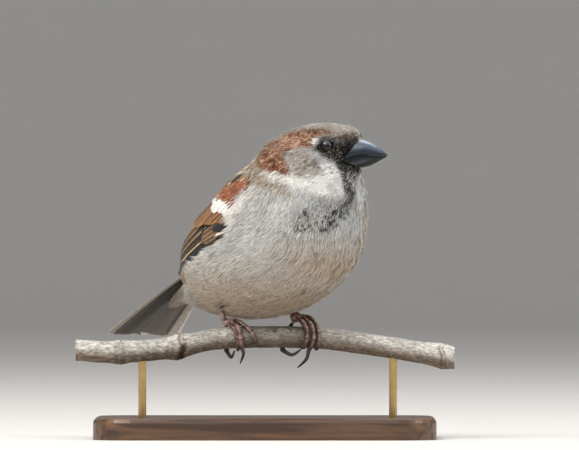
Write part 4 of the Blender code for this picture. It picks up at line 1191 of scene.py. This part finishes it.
# Centre and outward axis of an eye; side is 1 on the left and -1 on the right.
def eyeFrame(side):
    centre = turnHead(np.array([eye["f"], side * eye["l"], eye["u"]]), body["faceStation"])
    tip = turnHead(np.array([eye["f"] + 0.35, side * (eye["l"] + 1.0), eye["u"] + 0.06]), body["faceStation"])
    return centre, unit(tip - centre)


# The ball is a sphere over latitude v from its front pole, with the cornea raised a little; the lid
# is a thin ring with an oval section, resting on the ball round its opening.
def buildEyes(eyeMaterial, lidMaterial):
    ballRadius = eye["radius"]
    lean = math.asin(eye["opening"] / ballRadius)
    for side, word in ((1, "left"), (-1, "right")):
        centre, axis = eyeFrame(side)
        right = unit(np.cross(np.array([0, 0, 1.0]), axis))
        up = np.cross(axis, right)

        def spot(r, v, w):
            sideways = np.cos(w)[..., None] * right + np.sin(w)[..., None] * up
            return centre + r[..., None] * (np.cos(v)[..., None] * axis + np.sin(v)[..., None] * sideways)

        v, w = gridOf(np.linspace(0, math.pi, 40), turnsOf(60))
        radius = ballRadius * (1 - 0.24 * ease((v - lean - 0.08) / 0.35)) + 0.16 * hump(v, 0, 0.55)
        away = ballRadius * np.sin(v) + np.where(v > math.pi / 2, 9, 0)
        iris = ease((away - eye["pupil"]) / 0.15) * ease((eye["iris"] - away) / 0.3)
        colour = tint(np.array(eye["black"]), eye["brown"], iris)
        # Painted reflection: the upper half of the glass carries a soft blue-grey reflection of the sky.
        height = np.sin(v) * np.sin(w) * ballRadius
        skyReflection = np.exp(-(((height - 0.85) / 0.65) ** 2) - ((np.sin(v) * np.cos(w) * ballRadius / 1.2) ** 2))
        colour = tint(colour, eye["skyReflection"], 0.8 * ease(skyReflection * 1.3))
        addMesh(
            f"eyeball_{word}", toWorld(spot(radius, v, w)), [gridFaces(*v.shape, wrap=True, flip=True)],
            eyeMaterial, (f"eye_{word}",), colours={"tone": colour},
        )
        ring, section = gridOf(turnsOf(72), turnsOf(12))
        pinch = 1 + 0.05 * np.cos(2 * ring)
        lidLean = lean * pinch + eye["lid"] * 0.36 * np.cos(section)
        lidRadius = ballRadius + 0.02 + 0.16 * np.sin(section) + 0.03 * np.sin(ring * 14)
        rows, columns = ring.shape
        now = np.arange(columns)
        after = (now + 1) % columns
        joining = np.stack([(rows - 1) * columns + now, (rows - 1) * columns + after, after, now], -1)
        # Pale dots run along the lower half of the dark rim.
        dots = ease((np.cos(ring * 16) + 0.5) / 0.6) * ease((-np.sin(ring) + 0.2) / 0.5)
        dots = dots * ease((np.sin(section) + 0.1) / 0.6)
        addMesh(
            f"eyelid_{word}", toWorld(spot(lidRadius, lidLean, ring)),
            [gridFaces(rows, columns, wrap=True), joining], lidMaterial,
            colours={"tone": tint(np.array(eye["lidDark"]), eye["lidDots"], dots)},
        )


perch = {
    "line": (
        (-71.0, 0.6, -4.9), (-55.0, -0.4, -5.7), (-34.0, 0.3, -3.9), (-18.0, 0.0, -0.7),
        (0.0, 0.0, 0.0), (20.0, 0.0, -0.4), (42.0, -0.5, -3.2), (71.0, 0.5, -7.9),
    ),
    "radius": 4.15,
    "knots": ((-54.0, 0.55, 3.0), (-32.5, 0.85, 3.4), (66.0, 0.8, 4.0)),  # place, height, width
    "rings": 420, "sides": 96, "discRings": 14, "dish": 0.0002,
    "feetPlace": 3, "burntPlace": -31.2, "archPlace": 6.8,
    # under is the colour of the painted shade on the branch's underside.
    "rough": (0.43, 0.405, 0.36), "smooth": (0.54, 0.505, 0.455), "under": (0.43, 0.36, 0.29),
    "scar": (0.11, 0.066, 0.038), "green": (0.20, 0.195, 0.145), "chips": (0.43, 0.39, 0.33),
    "pits": (0.11, 0.080, 0.055), "burnt": (0.040, 0.024, 0.015), "arch": (0.065, 0.050, 0.038),
    "wood": (0.50, 0.38, 0.24), "woodRing": (0.36, 0.25, 0.14), "cutBark": (0.20, 0.15, 0.10),
}


def perchAxis(x):
    line = np.array(perch["line"])
    return smoothLine(line, np.interp(x, line[:, 0], np.arange(len(line)))) + (0, 0, body["perchHeight"])


def perchRadius(x):
    return perch["radius"] + sum(high * hump(x, at, width) for at, high, width in perch["knots"])


# Round the branch: 0 is its top, 90 its front, clear above its surface, in row millimetres.
def perchPoint(x, degrees, clear):
    x, angle = np.asarray(x, float), np.radians(degrees)
    reach = perchRadius(x) + clear
    return perchAxis(x) + reach[..., None] * np.stack([0 * angle, -np.sin(angle), np.cos(angle)], -1)


# A smooth random height: a sum of waves across (u, v) with frequencies between low and high.
def rippleNoise(u, v, rng, count, low, high):
    total = np.zeros_like(u)
    for _ in range(count):
        frequency, turn = rng.uniform(low, high), rng.uniform(0, 2 * math.pi)
        total += np.sin(frequency * (u * math.cos(turn) + v * math.sin(turn)) + rng.uniform(0, 2 * math.pi))
    return total / math.sqrt(count)


# The bark over places x and turns round the branch: how far it lies off the plain tube, and its
# colour. Waves are taken on the tube's own circle, so that they meet round the branch.
def barkOf(x, turn):
    rng = np.random.default_rng(31)
    angle = np.radians(turn)
    cosWay, sinWay = np.cos(angle) * 4, np.sin(angle) * 4
    clear = 0.05 * rippleNoise(x + cosWay, sinWay * 1.7, rng, 14, 0.5, 2.2)
    clear = clear + 0.03 * rippleNoise(x * 0.4 + sinWay, cosWay * 2.2, rng, 12, 2, 5)
    smooth = ease((x - 14) / 10)
    colour = tint(np.array(perch["rough"]), perch["smooth"], smooth)
    scar = np.zeros_like(x)
    for at, _, _ in perch["knots"]:
        wander = at + 0.5 * np.sin(angle * 2 + at) + 0.3 * np.sin(angle * 5)
        ring = hump(x, wander, 0.55) + 0.7 * hump(x - wander, 1.5, 0.35)
        clear = clear + 0.16 * ring - 0.10 * hump(x - wander, 0.8, 0.35)
        scar = np.maximum(scar, ring)
    clear = clear - 0.12
    under = ease((-np.cos(angle) + 0.35) / 1.0)
    tone = rippleNoise(x, sinWay * 2, rng, 16, 0.3, 1.4)
    colour = colour * (1 + 0.12 * tone * (1 - 0.6 * smooth))[..., None]
    # Painted shade: the bark darkens towards the branch's bottom.
    colour = colour * tint(np.ones(3), perch["under"], under)
    colour = tint(colour, perch["scar"], 0.85 * np.clip(scar, 0, 1) * ease((tone + 0.7) / 1.3))
    # Lengthwise streaks, and a darker greenish stretch under the feet.
    streak = rippleNoise(x * 0.10 + cosWay * 0.3, sinWay * 3.2, rng, 16, 1.5, 4.0)
    colour = colour * (1 + 0.13 * streak)[..., None]
    green = np.exp(-(((x - perch["feetPlace"]) / 10.0) ** 4))
    green = green * ease((rippleNoise(x, sinWay * 2, rng, 10, 0.3, 0.9) + 0.9) / 1.2)
    colour = tint(colour, perch["green"], 0.66 * green)
    # Small dark pits and short cracks, most on the rough left part and on the underside.
    roundWay = sinWay * 1.6
    pits = rippleNoise(x * 1.0 + cosWay * 1.3, roundWay, rng, 22, 1.6, 4.6)
    cracks = rippleNoise(x * 0.5 + cosWay, roundWay * 2.0, rng, 22, 1.2, 3.6)
    chips = rippleNoise(x * 0.8 - cosWay, roundWay, rng, 20, 1.0, 3.0)
    pits = ease((pits - 1.0) / 0.5) * blendOf(1.0, 0.35, smooth)
    cracks = ease((cracks - 1.25) / 0.3) * (0.3 + 0.7 * under) * blendOf(1.0, 0.4, smooth)
    colour = tint(colour, perch["chips"], 0.45 * (ease((chips - 1.0) / 0.5) * under))
    colour = tint(colour, perch["pits"], 0.62 * np.maximum(pits, cracks))
    clear = clear - 0.05 * pits - 0.08 * cracks
    # The burnt-looking lower half of the node by the tail, and an arched scar between the feet.
    burnt = hump(x - perch["burntPlace"] + 0.5 * np.sin(angle * 3), 0, 1.1)
    burnt = burnt * ease((0.45 - np.cos(angle)) / 0.6) * ease((tone + 1.2) / 1.0)
    colour = tint(colour, perch["burnt"], 0.95 * np.clip(1.4 * burnt, 0, 1))
    front = np.where(turn < 180, turn, turn - 360) * math.pi / 180 * perch["radius"]
    arch = hump(np.hypot(x - perch["archPlace"], (front - 4.6) * 1.1), 3.3, 0.38)
    arch = arch * ease((5.2 - front) / 1.0) * ease((front + 1.5) / 1.5)
    colour = tint(colour, perch["arch"], 0.75 * arch)
    return clear - 0.10 * arch, colour


# The bark is a tube along the branch. Each cut end is rings shrinking to a middle point, slightly
# dished, with rings of growth as a sine of the share.
def buildPerch(material):
    first, last = perch["line"][0][0] + 0.02, perch["line"][-1][0] - 0.02
    x, turn = gridOf(np.linspace(first, last, perch["rings"]), np.linspace(0, 360, perch["sides"] + 1)[:-1])
    rows, columns = x.shape
    clear, colour = barkOf(x, turn)
    place = perchPoint(x, turn, clear) * mm
    uv = np.stack([(x - first) / (last - first), turn / 360], -1).reshape(-1, 2) * (0.98, 0.8) + (0.01, 0.01)
    points, tones, uvs = [place.reshape(-1, 3)], [colour.reshape(-1, 3)], [uv]
    faces = [gridFaces(rows, columns, wrap=True, flip=True)]
    share = np.linspace(1, 0.02, perch["discRings"])[:, None]
    growth = 0.5 + 0.5 * np.sin(share * 40)
    wood = tint(np.array(perch["wood"]), perch["woodRing"], growth * np.ones((1, columns)))
    wood[:2] = np.array(perch["cutBark"])
    circle = turnsOf(columns)[None]
    offset = rows * columns
    for number, (row, facing) in enumerate(((0, -1), (rows - 1, 1))):
        ring, middle = place[row], place[row].mean(0)
        dish = np.array([facing * perch["dish"], 0, 0]) * ((1 - share) * share)[..., None]
        points.append((middle + (ring - middle) * share[..., None] + dish).reshape(-1, 3))
        faces.append(gridFaces(len(share), columns, wrap=True, flip=facing > 0) + offset)
        tones.append(wood.reshape(-1, 3))
        disc = [0.1 + 0.25 * number + 0.08 * share * np.cos(circle), 0.91 + 0.08 * share * np.sin(circle)]
        uvs.append(np.stack(disc, -1).reshape(-1, 2))
        offset += len(share) * columns
    addMesh(
        "perch_bark", np.concatenate(points), faces, material, ("perch",),
        uvs={"OFBake": np.concatenate(uvs)}, colours={"tone": np.concatenate(tones)},
    )


# Places in millimetres. A toe's and a claw's points go along the branch, round it in degrees and
# clear of it.
feet = {
    "tarsus": 1.05, "toe": 0.87, "claw": 1.04,  # radii
    "tarsusRings": 90, "toeRings": 84, "clawRings": 40, "sides": 22, "clawSides": 18,
    "dark": (0.060, 0.022, 0.014), "light": (0.56, 0.36, 0.32),
    "clawRoot": (0.12, 0.072, 0.055), "clawTip": (0.034, 0.026, 0.024),
    "right": {
        "ball": (-13.6, -0.3, 5.7), "ballSize": (2.9, 1.45, 1.25), "heel": (-15.3, -0.3, 5.9),
        "shank": (-17.0, -4.3, 12.8),
        "inner": ((-10.7, 6, 2.3), (-8.4, 28, 1.7), (-5.1, 64, 1.1), (-3.9, 94, 1.1)),
        "middle": ((-10.9, 26, 1.3), (-9.5, 57, 1.35), (-8.9, 95, 1.1), (-8.6, 126, 1.1)),
        "outer": ((-12.4, 30, 1.0), (-10.9, 57, 1.0), (-10.0, 92, 0.9), (-9.8, 124, 0.9)),
        "hind": ((-14.4, -30, 1.1), (-14.8, -75, 1.3), (-14.6, -120, 1.1), (-14.2, -156, 1.1)),
        "innerClaw": ((-4.1, 112, 1.3), (-5.3, 123, 0.8)),
        "middleClaw": ((-7.8, 151, 2.9), (-9.1, 171, 6.0)),
        "outerClaw": ((-9.9, 145, 1.5), (-9.7, 160, 1.2)),
        "hindClaw": ((-12.4, -186, 3.2), (-11.0, -203, 0.9)),
    },
    "left": {
        "ball": (11.7, -0.3, 7.4), "ballSize": (2.4, 1.55, 1.9), "heel": (11.7, -0.3, 7.4),
        "shank": (4.8, 6.6, 14.6),
        "inner": ((13.4, 24, 2.7), (15.6, 52, 1.5), (15.7, 90, 1.1), (15.1, 121, 1.1)),
        "middle": ((14.6, 8, 3.3), (17.6, 50, 1.9), (18.2, 94, 1.1), (16.9, 140, 1.1)),
        "outer": ((14.3, -14, 4.0), (17.9, 18, 2.9), (20.1, 66, 1.2), (19.9, 118, 1.1)),
        "hind": ((10.8, -30, 2.3), (8.6, -75, 1.3), (6.6, -118, 1.1), (6.9, -153, 1.1)),
        "innerClaw": ((14.5, 137, 1.2), (13.6, 149, 0.8)),
        "middleClaw": ((15.6, 167, 4.3), (12.3, 177, 7.5)),
        "outerClaw": ((19.4, 138, 1.3), (18.6, 152, 0.9)),
        "hindClaw": ((10.5, -183, 2.5), (14.0, -201, 0.5)),
    },
}
toeNames = ("inner", "middle", "outer", "hind")


# A closed tube along a line of row millimetres: at each point a circle in the plane across the
# line, its radius swelling and stepping in at each scute. Its ends close to a point.
def sweep(line, radii, sides, scute=0.0, scutes=0):
    line = np.asarray(line, float)
    ahead = unit(np.gradient(line, axis=0))
    side = unit(np.cross(ahead, np.array([0.03, 0.2, 1.0])))
    other = np.cross(ahead, side)
    turn = turnsOf(sides)
    s = np.linspace(0, 1, len(line))[:, None]
    step = (s * scutes) % 1.0 if scutes else 0 * s
    front = 0.5 + 0.5 * np.cos(turn - math.pi / 2)[None, :]
    radius = np.asarray(radii)[:, None] * (1 + scute * (0.5 - step) * (0.35 + 0.65 * front))
    radius[0], radius[-1] = 0.0, 0.0
    circle = np.cos(turn)[None, :, None] * side[:, None] + np.sin(turn)[None, :, None] * other[:, None]
    return line[:, None] + radius[..., None] * circle, s, step


# A smooth line through joints given round the branch.
def toeLine(joints):
    joints = smoothLine(joints, np.linspace(0, len(joints) - 1, feet["toeRings"]))
    return perchPoint(joints[:, 0], joints[:, 1], joints[:, 2])


# Painted light on the scutes: a pale painted highlight on the side that faces away from the branch, up and to
# the front, and painted shade on the far side; the left foot's highlight is narrower and its shade wider.
# They are red-brown in their grooves.
def scuteColour(name, side, line, place, s, step):
    groove = hump(np.minimum(step, 1 - step), 0, 0.16)
    out = unit(place - line[:, None])
    away = unit(line - perchAxis(line[:, 0]) + (0.0, -1.0, 2.0))[:, None]
    if name.startswith("tarsus"):
        away = unit(np.array([-0.5, -1.0, 0.4]))
    if side == "left":
        away = unit(away + (0.7, -0.3, 0.0))
    face = ease(((out * away).sum(-1) + (0.05 if side == "right" else -0.28)) / 0.85)
    highlightVariation = 0.66 + 0.34 * np.sin(s * 23 + 2 * np.sin(s * 9))
    # The right foot's outer toe is mostly kept in painted shade.
    litShare = 0.3 if name == "toe_right_outer" else 0.82
    return tint(np.array(feet["dark"]), feet["light"], litShare * face * highlightVariation * (1 - 0.62 * groove))


# Every piece of a leg is swept, but for the ball of the foot, an ellipsoid with low warts.
def buildFeet(skinMaterial, clawMaterial):
    def addPiece(name, place, uv, colour, material, ending):
        addMesh(
            f"{name}_{ending}", place * mm, [gridFaces(*place.shape[:2], wrap=True)], material,
            (name,), uvs={"OFBake": uv}, colours={"tone": colour},
        )

    for side in ("right", "left"):
        foot = feet[side]
        rise = np.array([0, 0, body["perchHeight"]])
        centre, heel, top = foot["ball"] + rise, foot["heel"] + rise, foot["shank"] + rise
        lines = {toe: toeLine(foot[toe]) for toe in toeNames}
        shares = np.linspace(0, 1, feet["tarsusRings"])
        shank = blendOf(heel, top, np.linspace(0.02, 1.05, feet["tarsusRings"])[:, None])
        radii = feet["tarsus"] * np.interp(shares, [0, 0.12, 0.5, 1], [1.15, 1.0, 0.9, 1.05])
        parts = [(f"tarsus_{side}", shank, radii, 0.24, 9)]
        for toe, line in lines.items():
            line = np.vstack([blendOf(centre, line[0], np.linspace(0.35, 1, 12)[:-1, None]), line])
            pads = 1 + 0.13 * np.cos(np.linspace(0, 6 * math.pi, len(line)))
            parts.append((f"toe_{side}_{toe}", line, feet["toe"] * pads, 0.17, 11))
        for name, line, radii, scute, scutes in parts:
            place, s, step = sweep(line, radii, feet["sides"], scute, scutes)
            colour = scuteColour(name, side, line, place, s, step)
            addPiece(name, place, unitGrid(*place.shape[:2]), colour, skinMaterial, "skin")
        v, w = gridOf(np.linspace(0, math.pi, 24), turnsOf(32))
        wart = 1 + 0.05 * np.sin(v * 9) * np.sin(w * 8)
        ball = np.stack([np.sin(v) * np.cos(w), np.sin(v) * np.sin(w), np.cos(v)], -1) * wart[..., None]
        # The ball is near the painted highlight's colour on the right foot and in painted shade on the left.
        colour = blendOf(np.array(feet["light"]), np.array(feet["dark"]), 0.15 if side == "right" else 0.85)
        addPiece(
            f"foot_{side}", centre + ball * foot["ballSize"], np.stack([w / 6.3, v / 3.2], -1),
            np.ones((*v.shape, 3)) * colour, skinMaterial, "skin",
        )
        for toe, line in lines.items():
            direction = unit(line[-1] - line[-2])
            bend = perchPoint(*np.array(foot[toe + "Claw"], float).T)
            points = np.vstack([line[-1] - direction * 0.4, line[-1] + direction * 0.9, bend])
            s = np.linspace(0, 1, feet["clawRings"])
            claw = smoothLine(points, np.linspace(0, 3, len(s)))
            radii = feet["claw"] * (0.95 * (1 - s) ** 0.45 * (1 - 0.1 * s) + 0.05)
            place, _, _ = sweep(claw, radii, feet["clawSides"])
            colour = tint(np.array(feet["clawRoot"]), feet["clawTip"], ease(s * 1.4)[:, None])
            colour = colour * np.ones((*place.shape[:2], 1))
            uv = unitGrid(*place.shape[:2])
            addPiece(f"claw_{side}_{toe}", place, uv, colour, clawMaterial, "horn")


# A finish whose colour is the piece's own tone attribute, mottled, with a fine bump.
def toneMaterial(name, roughness, amount, scale, bump, coat=0.0, specular=0.5, stretch=(1.0, 1.0, 1.0)):
    finish = {"Roughness": roughness, "Coat Weight": coat, "Specular IOR Level": specular}
    material, tree, shader = newMaterial(name, finish)
    drawn = addNode(tree, "Mapping", None, {"Vector": objectPlace(tree), "Scale": stretch}).outputs["Vector"]
    mixed = addMottle(tree, readAttribute(tree, "tone")["Color"], drawn, scale, amount)
    tree.links.new(mixed["Colour"], shader.inputs["Base Color"])
    if bump:
        addBump(tree, shader, mixed["Value"], 0.6, bump)
    return material


# Dark oiled wood: long wavy rings stretched along the base.
def woodMaterial():
    material, tree, shader = newMaterial("base_walnut", {"Roughness": 0.38, "Coat Weight": 0.25})
    place = {"Vector": objectPlace(tree), "Scale": (6.0, 70.0, 70.0)}
    stretch = addNode(tree, "Mapping", None, place).outputs["Vector"]
    grain = {"Vector": stretch, "Scale": 3.0, "Detail": 8.0, "Distortion": 1.2}
    grain = addNode(tree, "TexNoise", None, grain).outputs["Fac"]
    ramp = addNode(tree, "ValToRGB", None, {"Fac": grain})
    stops = (0.35, (0.045, 0.020, 0.010, 1)), (0.68, (0.17, 0.085, 0.042, 1))
    for stop, (position, colour) in zip(ramp.color_ramp.elements, stops):
        stop.position = position
        stop.color = colour
    tree.links.new(ramp.outputs["Color"], shader.inputs["Base Color"])
    addBump(tree, shader, grain, 0.15, 0.0002)
    return material


# One colour, mottled a little.
def plainMaterial(name, finish, colour, scale, amount):
    material, tree, shader = newMaterial(name, finish)
    mixed = addMottle(tree, (*colour, 1), objectPlace(tree), scale, amount)
    tree.links.new(mixed["Colour"], shader.inputs["Base Color"])
    return material


stage = {
    "flat": 4.6, "wall": 6.6, "height": 4.0, "turns": 128,
    "aim": (0, 0, 0.08),
    "lights": {  # place, size, power, colour
        "key": ((-0.8, -0.9, 1.5), 1.3, 34.0, (1.0, 0.98, 0.94)),
        "top": ((0.2, 0.0, 1.7), 2.2, 22.0, (0.96, 0.98, 1.0)),
        "side": ((1.4, -0.6, 0.8), 1.0, 8.0, (0.97, 0.98, 1.0)),
    },
    "world": 0.62, "worldColour": (0.93, 0.95, 1.0, 1),
    "distance": 4.0, "width": 0.2171, "sideways": 0.0092, "eyeLevel": 0.080,  # the camera, in metres
}


# A round floor whose rim curves up into a wall all round: radius and height follow a quarter
# circle between the flat part and the wall.
def buildStage(material):
    s = np.concatenate([np.linspace(0, 1, 24), 1 + np.linspace(0, 1, 25)[1:], 2 + np.linspace(0, 1, 9)[1:]])
    bend = np.clip(s - 1, 0, 1) * math.pi / 2
    rise = stage["wall"] - stage["flat"]
    radius = stage["flat"] * np.clip(s, 0.0005, 1) + rise * np.sin(bend)
    height = rise * (1 - np.cos(bend)) + stage["height"] * np.clip(s - 2, 0, 1)
    turn = turnsOf(stage["turns"])
    place = [radius[:, None] * np.cos(turn), radius[:, None] * np.sin(turn), height[:, None] + 0 * turn]
    mesh = bpy.data.meshes.new("studio_floor")
    faces = gridFaces(len(s), len(turn), wrap=True)
    mesh.from_pydata(np.stack(place, -1).reshape(-1, 3).tolist(), [], faces.tolist())
    mesh.flip_normals()
    mesh.shade_smooth()
    mesh.materials.append(material)
    floor = bpy.data.objects.new("studio_floor", mesh)
    bpy.context.scene.collection.objects.link(floor)


def buildLights():
    for name, (place, size, power, colour) in stage["lights"].items():
        light = bpy.data.lights.new(name, "AREA")
        light.shape = "DISK"
        light.size = size
        light.energy = power
        light.color = colour
        obj = bpy.data.objects.new(name, light)
        obj.location = place
        way = mathutils.Vector(stage["aim"]) - obj.location
        obj.rotation_euler = way.to_track_quat("-Z", "Y").to_euler()
        bpy.context.scene.collection.objects.link(obj)
    world = bpy.data.worlds.new("studio")
    world.use_nodes = True
    backdrop = world.node_tree.nodes["Background"]
    backdrop.inputs["Color"].default_value = stage["worldColour"]
    backdrop.inputs["Strength"].default_value = stage["world"]
    bpy.context.scene.world = world
    bpy.context.scene.view_settings.view_transform = "Standard"


# Level, looking along +Y; the view is as wide at the bird as the stage's width.
def buildCamera():
    camera = bpy.data.cameras.new("camera")
    camera.sensor_width = 36.0
    camera.lens = camera.sensor_width * stage["distance"] / stage["width"]
    camera.clip_end = 50.0
    obj = bpy.data.objects.new("camera", camera)
    obj.location = (stage["sideways"], -stage["distance"], stage["eyeLevel"])
    obj.rotation_euler = (math.pi / 2, 0, 0)
    bpy.context.scene.collection.objects.link(obj)
    bpy.context.scene.camera = obj


plumage = plumageMaterial("plumage_soft", 0.10)
skinFinish = plumageMaterial("plumage_skin", 0.25)
flight = vaneMaterial("flight_vanes", 190.0)
rectrix = vaneMaterial("tail_vanes", 520.0)
horn = toneMaterial("bill_horn_sheen", 0.38, 0.26, 500.0, 0.00004, coat=0.03, specular=0.30)
eyeGloss = toneMaterial("eye_gloss", 0.05, 0.0, 400.0, 0.0, specular=0.38)
lidSkin = toneMaterial("lid_skin", 0.6, 0.2, 900.0, 0.00003)
legSkin = toneMaterial("leg_scutes", 0.20, 0.34, 900.0, 0.00008, coat=0.6)
clawHorn = toneMaterial("claw_gloss", 0.28, 0.2, 900.0, 0.00002, coat=0.2)
bark = toneMaterial("bark_grey", 0.72, 0.62, 1200.0, 0.00020, specular=0.35, stretch=(0.5, 1.0, 1.0))
baseWood = woodMaterial()
satinBrass = {"Roughness": 0.28, "Metallic": 1.0}
brass = plainMaterial("rod_satin_brass", satinBrass, (0.62, 0.43, 0.19), 300.0, 0.12)
matt = {"Roughness": 0.85, "Specular IOR Level": 0.2}
floorFinish = plainMaterial("studio_floor", matt, (0.62, 0.60, 0.57), 2.0, 0.01)
print("materials done")

buildSkin(skinFinish)
print("skin done")
buildCoat(plumage)
buildWings(flight)
buildTail(rectrix)
print("feathers done")
buildBill(horn)
buildEyes(eyeGloss, lidSkin)
buildPerch(bark)
buildFeet(legSkin, clawHorn)
print("bill, eyes, branch and feet done")

for nodeName, finish in (("stand_base", baseWood), ("stand_rod_left", brass), ("stand_rod_right", brass)):
    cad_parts[nodeName].data.materials[0] = finish
buildStage(floorFinish)
buildLights()
buildCamera()
print("stage done")
